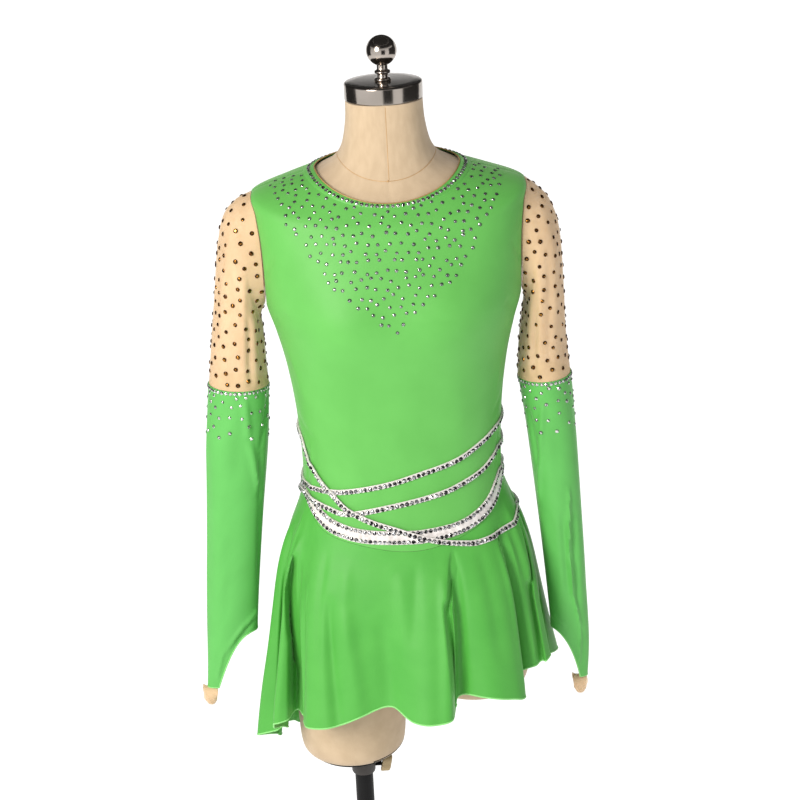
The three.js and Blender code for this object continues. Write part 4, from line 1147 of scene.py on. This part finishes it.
def staggered(surface, us, vs, keep, across, down, seed):
    """Places in staggered rows over the front of a surface, each a little off its row."""
    rng = np.random.default_rng(seed)
    u = rng.uniform(*us, ROW_TRIES)
    v = rng.uniform(*vs, ROW_TRIES)
    points = surface(u, v)
    facing = keep(points)
    u, v, points = u[facing], v[facing], points[facing][:, [0, 2]]
    low, high = points.min(0), points.max(0)
    chosen = []
    for row, z in enumerate(np.arange(high[1] - down / 2, low[1] - down, -down)):
        for x in np.arange(low[0] - across, high[0] + across, across) + across / 2 * (row % 2):
            spot = np.array([x, z]) + rng.uniform(-ROW_JITTER, ROW_JITTER, 2)
            distance = np.linalg.norm(points - spot, axis=-1)
            nearest = int(np.argmin(distance))
            if distance[nearest] < ROW_NEAR:
                chosen.append(nearest)
    return u[chosen], v[chosen]


def evenly(points, pitch):
    """Fractional positions along a path of points at an even pitch."""
    length = np.concatenate([[0], np.cumsum(np.linalg.norm(np.diff(points, axis=0), axis=-1))])
    count = int(length[-1] // pitch)
    return np.interp((np.arange(count) + 0.5) * length[-1] / count, length, np.arange(len(points)))


# The dress

def bodice_rows():
    """Rings of the bodice above the armpit: close together at both ends of the armhole."""
    curved = ARMHOLE_MIDDLE - ARMHOLE_TALL * np.cos(np.linspace(0, math.pi, 85))
    return np.concatenate([curved, np.linspace(SHOULDER_RING, NECKLINE_RING, 19)[1:]])


def make_bodice(name, middle, sign, node_name):
    """Front or back of the bodice, from side seam to side seam and cut away at the armholes."""
    low_rows = 70
    columns = 120
    across = np.linspace(-1, 1, columns + 1)
    chest = bodice_rows()
    bottom = figure_ring(round_height(WAIST_SEAM, middle + 90 * across * sign) + SEAM_GAP / 2)
    low = mix(bottom, ARMPIT_RING, (np.arange(low_rows)[:, None] / low_rows) ** ROW_CROWDING)
    ring = np.concatenate([low, np.repeat(chest[:, None], columns + 1, 1)])
    from_middle = (ring - ARMHOLE_MIDDLE) / ARMHOLE_TALL
    opened = np.sqrt(np.clip(1 - from_middle ** 2, 0, None))
    reach = (ARMHOLE_FRONT if sign > 0 else ARMHOLE_BACK) * opened
    angle = middle + across * sign * (90 - SEAM_TURN - reach)
    normal = outward(bodice, angle, ring)
    # The cloth dips a little where it is sewn
    edge = (1 - np.abs(across))[None] * HALF_FRONT
    outer = bodice(angle, ring) - normal * (SEAM_DIP * np.exp(-((edge / SEAM_DIP_WIDE) ** 2)))[..., None]
    mesh = wall_mesh(name, outer, outer - normal * CLOTH, False)
    return finish_piece(name, mesh, [GREEN], [node_name])


def make_neck_edge():
    """Green turned edge of the neck, with a fine nude elastic on its inner side and a row of stones."""
    columns = 240
    angle = np.arange(columns) * 360 / columns - 180
    u, v = np.broadcast_arrays(angle[None], (NECKLINE_RING - NECK_EDGE["below"])[:, None])
    outer = moved(figure, u, v, NECK_EDGE["lift"][:, None])
    inner = moved(figure, u, v, -0.4)
    edge = finish_piece("neck_edge", wall_mesh("neck_edge", outer, inner, True), [GREEN],
                        ["neck_binding"])
    rim = moved(figure, angle, NECKLINE_RING + 0.05, 0.2)
    elastic = tube("neck_elastic", rim, ELASTIC_RADIUS, EDGE, closed=True)
    line = moved(figure, angle, NECK_ROW_RING, 0.9)
    at = evenly(np.concatenate([line, line[:1]]), STONE_ROW_PITCH - 0.6)
    turn = np.interp(at, np.arange(columns + 1), np.concatenate([angle, [180]]))
    places, normals = on_surface(figure, turn, NECK_ROW_RING, 0.85)
    # A quarter of the neck stones are painted mostly in shade
    stones("neck_stones", places, normals, NECK_STONE, STRIP_STONES, 11, dark=0.25)
    return edge, elastic


def make_skirt(name, middle, node_name):
    """Front or back of the skirt, with its rolled hem."""
    columns = 560
    rows = 62
    angle = middle + np.linspace(-1, 1, columns + 1) * (90 - SEAM_TURN)
    start = SEAM_GAP / 2 / (round_height(WAIST_SEAM, angle) - round_height(HEM, angle))
    share = mix(start[None], 1.0, (np.linspace(0, 1, rows + 1)[:, None]) ** ROW_CROWDING)
    u = np.broadcast_to(angle[None], share.shape)
    outer = skirt(u, share)
    normal = outward(upwards(skirt), u, -share, SKIRT_FINE_STEPS)
    mesh = wall_mesh(name, outer, outer - normal * CLOTH, False)
    # The skirt's darker tricot is painted shade and its lighter rolled hem a painted highlight
    piece = finish_piece(name, mesh, [SKIRT_GREEN_PAINTED_SHADE], [node_name])
    return piece, tube(name + "_hem", outer[-1] - normal[-1] * CLOTH / 2, HEM_ROLL, EDGE_GREEN_PAINTED_HIGHLIGHT)


def make_sleeve(arm_name):
    """Mesh upper sleeve, green lower sleeve, its rolled cuff and the finger loop of one arm."""
    arm = SLEEVES[arm_name]
    around = 88
    turn = np.arange(around) * 360 / around
    halves = []
    for part, shape, rows, steps, material, slot in (
        ("upper", upper_sleeve, np.linspace(0, 6, 90), UPPER_STEPS, MESH, "nude_mesh"),
        ("lower", lower_sleeve, np.linspace(0, 1, 130), LOWER_STEPS, GREEN_SLEEVE, "green_jersey"),
    ):
        u, v = np.broadcast_arrays(turn[None], rows[:, None])
        inside = np.clip(v, rows[0] + 0.02 * (part == "upper"), rows[-1] - 0.005)
        normal = outward(lambda a, b: shape(arm, a, b), u, inside, steps) * arm["side"]
        middle = shape(arm, u, v)
        name = f"{part}_sleeve_{arm_name}_cloth"
        mesh = wall_mesh(name, middle + normal * CLOTH / 2, middle - normal * CLOTH / 2, True)
        halves.append(finish_piece(name, mesh, [material], [f"{part}_sleeve_{arm_name}"]))
    # The rolled cuff is the lighter copy of the tricot, a painted highlight
    roll = tube(f"cuff_{arm_name}_roll", middle[-1], CUFF_ROLL, EDGE_GREEN_PAINTED_HIGHLIGHT, closed=True)
    return *halves, roll, make_loop(arm_name)


def make_loop(arm_name):
    """Finger loop: a short band of mesh below the cuff's point, soft and a little crumpled."""
    arm = SLEEVES[arm_name]
    top = arm["cuff_low"] - SEAM_GAP - 0.6
    a = np.arange(64) * math.tau / 64
    side = np.linspace(1, -1, 19)[:, None]
    low = (1 - np.cos(a))[None] / 2
    half = LOOP_WIDE / 2 * (1 - LOOP_TAPER * low - 0.14 * low ** 6)
    crumple = 0.9 * np.sin(3.1 * side + 2 * a) * low + 0.5 * np.sin(7 * side + 5 * a + 1) * low
    x = arm["side"] * arm["loop_x"] + side * half + 0.35 * np.sin(4 * a) * side ** 2
    bulge = (LOOP_HALF + crumple) * (1 + LOOP_PINCH * np.cos(a)) - 0.8 * side ** 2
    y = arm["lower"]["y"][-1] + bulge * np.sin(a)
    z = top - LOOP_DROP * low * (1 - 0.24 * np.abs(side) ** 3) + 2.6 * side ** 4 * (1 - low) * (np.sin(a) > 0)
    points = np.stack(np.broadcast_arrays(x, y, z), -1)
    normal = np.cross(np.roll(points, -1, 1) - np.roll(points, 1, 1), np.gradient(points, axis=0))
    normal /= np.linalg.norm(normal, axis=-1, keepdims=True)
    name = f"finger_loop_{arm_name}_band"
    mesh = wall_mesh(name, points + normal * 0.5, points - normal * 0.5, True)
    turn_out(mesh)
    return finish_piece(name, mesh, [MESH], [f"finger_loop_{arm_name}"])


def strip_lines(course, across, out):
    """Points of a strip at places across its width, one row for each step along it."""
    turned = abs(course["angle"][-1] - course["angle"][0])
    rows = np.linspace(0, len(course["angle"]) - 1, int(turned * STRIP_MM_PER_DEGREE / STRIP_STEP))
    angle, z, wide, lift = (at_row(column, rows) for column in course.values())
    radius = FIGURE["half"][WAIST_RING]
    run = np.gradient(np.radians(angle) * radius)
    rise = np.gradient(z)
    length = np.hypot(run, rise)
    side = across[None] * wide[:, None]
    a = angle[:, None] - np.degrees(side * (rise / length)[:, None] / radius)
    h = z[:, None] + side * (run / length)[:, None]
    return waist(a, h, (STRIP_LIFT * np.clip(lift, 0, 1))[:, None] + np.broadcast_to(out, side.shape))


def along_line(at, points):
    """Points at fractional positions along a line of points."""
    steps = np.arange(len(points))
    return np.stack([np.interp(at, steps, points[:, i]) for i in range(3)], -1)


def make_strip(name):
    """A satin strip round the waist, with corded edges and its rows of stones."""
    course = STRIPS[name]
    wide = course["wide"][0] > 7
    face = STRIP_GAP + STRIP_THICK
    across = np.linspace(-0.5, 0.5, 11 if wide else 7)
    crown = STRIP_CROWN * (1 - (2 * across) ** 2)
    outer = strip_lines(course, across, face + crown - STRIP_CROWN)
    inner = strip_lines(course, across, STRIP_GAP - 0.45)
    mesh = wall_mesh(name + "_ribbon", outer, inner, False)
    ribbon = finish_piece(name + "_ribbon", mesh, [SATIN], [name])
    extras = []
    for k, edge in enumerate((0.44, -0.44) if wide else (0.42,)):
        line = strip_lines(course, np.array([edge]), face)[:, 0]
        extras.append(tube(f"{name}_cord_{k}", line, CORD_RADIUS, SATIN, sides=6))
    for k, offset in enumerate((0.33, -0.33) if wide else (-0.09,)):
        line = strip_lines(course, np.array([offset, offset - 0.04, offset + 0.04]), face - 0.1)
        at = evenly(line[:, 0], STONE_ROW_PITCH - (0.9 if wide else 0.6))
        side = along_line(at, line[:, 2] - line[:, 1])
        normals = np.cross(along_line(at, np.gradient(line[:, 0], axis=0)), side)
        # Half of the strip stones are painted mostly in shade
        extras.append(stones(f"{name}_stones_{k}", along_line(at, line[:, 0]), normals,
                             STRIP_STONE - 0.3 * wide, STRIP_STONES, 20 + k, dark=0.5))
    return ribbon, extras


def chest_region(points):
    """True where the chest's scatter of stones lies, a deep V from the shoulders."""
    x, y, z = (points[..., i] for i in range(3))
    left = np.interp(z, CHEST_EDGE["z"], CHEST_EDGE["left"])
    right = np.interp(z, CHEST_EDGE["z"], CHEST_EDGE["right"])
    return (x > left) & (x < right) & (z > CHEST_EDGE["z"][0]) & (y < CHEST_BACK)


def make_scatters():
    """Loose stones: a V on the chest, brown ones over the mesh sleeves and clear ones below the elbows."""
    u, v = staggered(bodice, (-88, 88), (8.3, CHEST_TOP_RING), chest_region, CHEST_ACROSS, CHEST_DOWN, 3)
    extra = scatter(bodice, (-89, 89), (11, CHEST_TOP_RING), chest_region, CHEST_DOWN - 0.6, 9000, 7, (u, v))
    u, v = np.concatenate([u, extra[0]]), np.concatenate([v, extra[1]])
    places, normals = on_surface(bodice, u, v, STONE_SEAT)
    size = np.random.default_rng(5).uniform(0.88, 1.06, len(u)) * CHEST_STONE
    stones("chest_stones", places, normals, size, GREENISH, 4)
    for k, (name, arm) in enumerate(SLEEVES.items()):
        def mesh_face(turn, row):
            return upper_sleeve(arm, turn, row)

        def green_face(turn, share):
            return lower_sleeve(arm, turn, share)

        on_mesh = (CLOTH / 2 + STONE_SEAT, UPPER_STEPS, arm["side"])
        on_green = (CLOTH / 2 + STONE_SEAT, LOWER_STEPS, arm["side"])
        u, v = scatter(mesh_face, (-180, 180), (0.25, 5.75), lambda p: p[..., 2] > 0, SLEEVE_SPACING,
                       SLEEVE_TRIES, 31 + k)
        places, normals = on_surface(mesh_face, u, v, *on_mesh)
        size = np.random.default_rng(6 + k).uniform(0.85, 1.1, len(u)) * SLEEVE_STONE
        stones(f"upper_sleeve_{name}_stones", places, normals, size, BROWN, 8 + k)
        top = arm["upper"]["out_z"][-1]
        u, v = scatter(green_face, (-180, 180), (0.02, 0.3), lambda p: p[..., 2] > top - CUFF_FADE,
                       lambda p: CUFF_SPACING + CUFF_THINNING * np.clip((top - p[..., 2]) / CUFF_FADE, 0, 1),
                       SLEEVE_TRIES, 41 + k)
        places, normals = on_surface(green_face, u, v, *on_green)
        size = np.random.default_rng(9 + k).uniform(0.8, 1.05, len(u)) * CUFF_STONE
        stones(f"lower_sleeve_{name}_stones", places, normals, size, CLEAR, 12 + k)
        turn = np.linspace(-180, 180, 241)
        at = np.interp(evenly(green_face(turn, 0.006), STONE_ROW_PITCH - 0.9), np.arange(241), turn)
        places, normals = on_surface(green_face, at, 0.008, *on_green)
        stones(f"elbow_{name}_stones", places, normals, CUFF_STONE, CLEAR, 15 + k)


# The form and its stand

def solid(name, points):
    """An object of rings of points, closed at both ends."""
    mesh = mesh_from(name, points.reshape(-1, 3), capped_faces(*points.shape[:2]), measured_uv(points))
    turn_out(mesh)
    return in_scene(name, mesh)


def make_form():
    """Linen-covered form: trunk and neck, with two short legs joined on smoothly."""
    columns = 180
    angle = np.arange(columns) * 360 / columns
    runs = ((0.02, 9, 120), (9, 15, 70), (15, 18.95, 80))
    rings = np.concatenate([np.linspace(*run)[k > 0:] for k, run in enumerate(runs)])
    u, v = np.broadcast_arrays(angle[None], rings[:, None])
    seam = np.exp(-(((v - NECK_SEAM_RING) / RING_SEAM_HALF) ** 2))
    for middle in (0, 90, 180, 270):
        away = half_turns(u - middle) * np.where(v > NECKLINE_RING, 0.9, 2.0)
        seam = np.maximum(seam, np.exp(-((away / SIDE_SEAM_HALF) ** 2)) * (v > SEAMS_FROM_RING))
    points = moved(figure, u, v, -FORM_INSET - SEAM_SINK * seam)
    points[-1, :, 2] = FIGURE["side"][NECK_TOP_RING]
    body = solid("form_trunk", points)
    legs = []
    t = np.arange(96) * math.tau / 96
    for side, leg in ((-1, RIGHT_LEG), (1, LEFT_LEG)):
        rows = np.concatenate([np.linspace(0, 3, 24), np.linspace(3, len(leg["z"]) - 1, 16)[1:]])
        z, half, deep = (at_row(column, rows)[:, None] for column in leg.values())
        x = side * LEG_X + half * np.sin(t)
        y = LEG_Y - deep * np.cos(t)
        legs.append(solid("form_leg", np.stack([x, y, np.broadcast_to(z, x.shape)], -1)))
    for limb in legs:
        joined = body.modifiers.new("leg", "BOOLEAN")
        joined.operation = "UNION"
        joined.solver = "EXACT"
        joined.object = limb
    graph = bpy.context.evaluated_depsgraph_get()
    whole = bpy.data.meshes.new_from_object(body.evaluated_get(graph))
    for extra in (body, *legs):
        bpy.data.objects.remove(extra)
    whole.materials.clear()
    return finish_piece("form_cover", whole, [LINEN], ["form_torso"], sharp=40)


def make_form_seams():
    """Sewn lines of the cover, a ring at the neck's foot and a line up its front and its back, and a pin."""
    out = -FORM_INSET - 0.3
    ring = moved(figure, np.arange(240) * 1.5, NECK_SEAM_RING, out)
    tube("neck_foot_seam", ring, THREAD_RADIUS, THREAD, closed=True, sides=6)
    for k, middle in enumerate((0, 180)):
        line = moved(figure, middle + 0.4, np.linspace(NECK_SEAM_RING, 18.9, 60), out)
        tube(f"neck_seam_{k}", line, THREAD_RADIUS, THREAD, sides=6)
    spot, normal = on_surface(figure, np.array([-1.0]), NECK_SEAM_RING, -FORM_INSET)
    pin = lathe("neck_pin", [(0, -0.6), (1.0, -0.4), (1.1, 0.1), (0.7, 0.5), (0, 0.6)], (0, 0, 0), THREAD,
                [], sides=16)
    facing = Vector(normal[0]).to_track_quat("Z", "Y").to_matrix().to_4x4()
    pin.data.transform(Matrix.Translation(Vector(spot[0] * MM)) @ facing)


def arc(radius, centre_r, centre_h, start, end, count):
    """Points of an arc in a turned profile, by angle from the outside up."""
    return [(centre_r + radius * math.cos(math.radians(a)), centre_h + radius * math.sin(math.radians(a)))
            for a in np.linspace(start, end, count)]


def make_metalwork():
    """Neck cap and finial: buffed nickel, turned."""
    cap = [(0, CAP_FOOT), (CAP_RADIUS - 1, CAP_FOOT)]
    cap += arc(1, CAP_RADIUS - 1, CAP_FOOT + 1, -90, 0, 5)
    cap += arc(2.2, CAP_RADIUS - 2.2, CAP_TOP - 2.8, 0, 80, 8)
    cap += [(CAP_RADIUS - 5, CAP_TOP - 0.2), (CAP_RADIUS - 12, CAP_TOP), (0, CAP_TOP)]
    lathe("cap_plate", cap, (0, 0, 0), NICKEL, ["neck_cap"], sides=128)
    foot = CAP_TOP + SEAM_GAP
    stem = [(0, foot), (9.6, foot)] + arc(1.3, 8.3, foot + 1.3, -60, 90, 8)
    stem += [(6.4, foot + 3.2), (6.0, foot + 5), (6.2, foot + 7.2)] + arc(1.6, 7.6, foot + 9.6, -80, 80, 8)
    stem += [(6.6, foot + 12), (STEM_RADIUS, foot + 13)]
    start = math.degrees(math.asin(STEM_RADIUS / BALL_RADIUS)) - 90
    stem += arc(BALL_RADIUS, 0, BALL_Z, start, 89.9, 40) + [(0, BALL_Z + BALL_RADIUS)]
    lathe("finial_ball", stem, (0, 0, 0), NICKEL, ["finial"], sides=96, sharp=50)


def make_leg_plate():
    """Black plate under the leg stump, and its rim where it shows past the linen."""
    top = RIGHT_LEG["z"][-1] - SEAM_GAP
    a = np.arange(96) * math.tau / 96
    hole = POLE_RADIUS + 2
    low = top - PLATE_THICK
    rings = [[(POLE_X + hole * math.sin(t), -hole * math.cos(t), h) for t in a] for h in (top, low)]
    for half, h in ((PLATE_HALF - 0.6, low), (PLATE_HALF, low + 0.4), (PLATE_HALF + 0.2, top - 1.5),
                    (PLATE_HALF, top)):
        deep = PLATE_DEEP + half - PLATE_HALF
        rings.append([(-LEG_X + half * math.sin(t), LEG_Y - deep * math.cos(t), h) for t in a])
    rings.append(rings[0])
    mesh = mesh_from("leg_rim", np.array(rings).reshape(-1, 3), grid_faces(len(rings), 96, True).tolist())
    weld(mesh)
    turn_out(mesh)
    finish_piece("leg_rim", mesh, [BLACK], ["leg_plate"], sharp=40)
    edge = [(-LEG_X + 2.5 + 58.5 * math.sin(t), LEG_Y - 66 * math.cos(t),
             602.5 + 4.5 * math.sin(t) - 1.5 * math.cos(t)) for t in np.radians(np.linspace(20, 160, 60))]
    tube("leg_trim", edge, TRIM_RADIUS, BLACK)


def make_clamp():
    """Collar on the pole, with the clamp's screw and its two-winged knob."""
    foot, top = COLLAR_FOOT, COLLAR_TOP
    collar = [(BORE, foot + 0.5), (BORE + 0.5, foot)] + arc(0.8, 12.8, foot + 0.8, -90, 0, 5)
    collar += [(14.4, foot + 2.6), (15.6, top - 8.4), (16.4, top - 6.4)]
    collar += arc(0.8, 16.2, top - 5.4, -60, 0, 4) + arc(0.8, 16.2, top - 0.8, 0, 90, 5)
    collar += [(BORE, top), (BORE, foot + 0.5)]
    lathe("collar_cone", collar, (POLE_X, 0, 0), GREY, ["form_collar"])
    start = POLE_X + POLE_RADIUS + SEAM_GAP
    end = KNOB_START - SEAM_GAP
    screw = [(0, start)]
    for k in range(THREADS):
        h = start + 0.4 + k * (end - start - 0.8) / THREADS
        screw += [(SCREW_RADIUS - 0.35, h), (SCREW_RADIUS, h + 0.35)]
    screw += [(SCREW_RADIUS - 0.3, end), (0, end)]
    lathe("clamp_thread", screw, (0, 0, SCREW_Z), BLACK, ["clamp_screw"], "clamp", "x", 32)
    knob = [(0, KNOB_START), (KNOB_RADIUS - 2.4, KNOB_START)]
    knob += arc(1.6, KNOB_RADIUS - 2.2, KNOB_START + 1.6, -90, 0, 5)
    knob += arc(2, KNOB_RADIUS - 2.6, KNOB_END - 2, 0, 85, 7) + [(0, KNOB_END)]
    grip = lathe("clamp_grip", knob, (0, 0, SCREW_Z), BEIGE, ["clamp_knob"], "clamp", "x", 96,
                 lobes=2, lobe=-0.3)
    # The two wings lean out along the screw
    for vertex in grip.data.vertices:
        vertex.co.x += WING_LEAN * (vertex.co.z - SCREW_Z * MM)


def make_pole():
    """Pole and round base."""
    rim = POLE_RADIUS - 0.8
    pole = [(0, POLE_FOOT), (rim, POLE_FOOT), (POLE_RADIUS, POLE_FOOT + 0.8), (POLE_RADIUS, POLE_TOP - 0.8),
            (rim, POLE_TOP), (0, POLE_TOP)]
    lathe("pole_tube", pole, (POLE_X, 0, 0), BLACK, ["pole"], "pole")
    seat = POLE_FOOT - SEAM_GAP
    base = [(0, 0), (BASE_RADIUS - 0.6, 0), (BASE_RADIUS, 0.6), (BASE_RADIUS, 3.6)]
    base += arc(2.4, BASE_RADIUS - 2.6, 4.2, 0, 80, 7) + [(60, 9), (42, 10)]
    base += arc(4, 26, 18, -90, -180, 8) + [(20, 38)] + arc(1.6, 18, 38.4, 0, 90, 6)
    base += [(BORE + 0.4, 40), (BORE, 39.6), (BORE, seat), (0, seat)]
    lathe("base_disc", base, (POLE_X, 0, 0), BLACK, ["base"], "stand", sides=128)


# Camera, light and floor

def make_camera():
    """The photograph's view: a long lens from in front and above, leaning a little."""
    forward = Vector(CAMERA_FORWARD).normalized()
    right = forward.cross(Vector((0, 0, 1))).normalized()
    up = right.cross(forward)
    lean = math.radians(CAMERA_ROLL)
    x_axis = right * math.cos(lean) - up * math.sin(lean)
    y_axis = right * math.sin(lean) + up * math.cos(lean)
    data = bpy.data.cameras.new("camera")
    data.sensor_width = SENSOR
    data.lens = SENSOR * FOCAL_PIXELS / FRAME_PIXELS
    data.shift_x = 1 / FRAME_PIXELS
    data.clip_end = 50
    camera = in_scene("camera", data)
    axes = Matrix((x_axis, y_axis, -forward)).transposed().to_4x4()
    camera.matrix_world = Matrix.Translation(Vector(CAMERA_PLACE) * MM) @ axes
    bpy.context.scene.camera = camera


def make_key_light():
    """A large soft window of light from the upper left."""
    data = bpy.data.lights.new("key", "AREA")
    data.shape = "RECTANGLE"
    data.size, data.size_y = KEY_SIZE
    data.energy = KEY_WATTS
    data.color = colour("#fffaf2")[:3]
    light = in_scene("key", data)
    light.visible_camera = False
    light.location = KEY_PLACE
    light.rotation_euler = (Vector(KEY_TARGET) - Vector(KEY_PLACE)).to_track_quat("-Z", "Y").to_euler()


def stage_piece(name, corners, faces, material):
    """A piece of the studio, which isn't part of the object."""
    mesh = bpy.data.meshes.new(name)
    mesh.from_pydata(corners, [], faces)
    mesh.materials.append(material)
    obj = in_scene(name, mesh)
    return obj


def make_studio():
    """White studio: an even surround, a large soft key from the upper left and a pale floor."""
    world = bpy.data.worlds.new("studio")
    world.use_nodes = True
    tree = world.node_tree
    direction = node(tree, "ShaderNodeTexCoord").outputs["Generated"]
    height = node(tree, "ShaderNodeSeparateXYZ", {"Vector": direction}).outputs["Z"]
    ramp = node(tree, "ShaderNodeValToRGB", {"Fac": height})
    for element, (position, grey) in zip(ramp.color_ramp.elements, SKY):
        element.position = position
        element.color = (grey, grey, grey, 1)
    tree.links.new(ramp.outputs["Color"], tree.nodes["Background"].inputs["Color"])
    bpy.context.scene.world = world
    bpy.context.scene.view_settings.view_transform = "Standard"
    make_key_light()
    corners = [(x * FLOOR_REACH, y * FLOOR_REACH, FLOOR_Z) for x, y in ((-1, -1), (1, -1), (1, 1), (-1, 1))]
    stage_piece("floor", corners, [(0, 1, 2, 3)], new_material("matt white paper", {
        "Base Color": (0.4, 0.4, 0.4, 1), "Emission Color": (1, 1, 1, 1), "Emission Strength": 0.92,
        "Roughness": 1.0, "Specular IOR Level": 0.0,
    })[0])


def make_flags():
    """Black felt flags round the studio: only the gloss of metal, stones and cloth shows them."""
    corners = []
    steps = 19
    for start, end, low, high in zip(*FLAGS.values()):
        for turn in np.radians(np.linspace(start, end, steps)):
            corners += [(FLAG_REACH * math.sin(turn), -FLAG_REACH * math.cos(turn), h) for h in (low, high)]
    count = len(FLAGS["low"])
    first = [2 * (k * steps + j) for k in range(count) for j in range(steps - 1)]
    faces = [(i, i + 2, i + 3, i + 1) for i in first]
    # A ceiling of felt closes the ring of upper flags
    sides = 36
    faces.append([len(corners) + k for k in range(sides)])
    corners += [(FLAG_REACH * math.sin(t), FLAG_REACH * math.cos(t), FLAG_CEILING)
                for t in np.arange(sides) * math.tau / sides]
    felt = new_material("black felt", {"Base Color": (0.02, 0.02, 0.02, 1), "Roughness": 1.0})[0]
    obj = stage_piece("flags", corners, faces, felt)
    obj.visible_camera = False
    obj.visible_diffuse = False
    obj.visible_shadow = False
    obj.visible_transmission = False


make_camera()
make_studio()
make_flags()

front = make_bodice("bodice_front_cloth", 0, 1, "bodice_front")
back = make_bodice("bodice_back_cloth", 180, -1, "bodice_back")
neck_edge, neck_elastic = make_neck_edge()
skirt_front, hem_front = make_skirt("skirt_front_cloth", 0, "skirt_front")
skirt_back, hem_back = make_skirt("skirt_back_cloth", 180, "skirt_back")
arms = {name: make_sleeve(name) for name in SLEEVES}
strips = {name: make_strip(name) for name in STRIPS}
make_scatters()
cover = make_form()
make_form_seams()
make_metalwork()
make_leg_plate()
make_clamp()
make_pole()
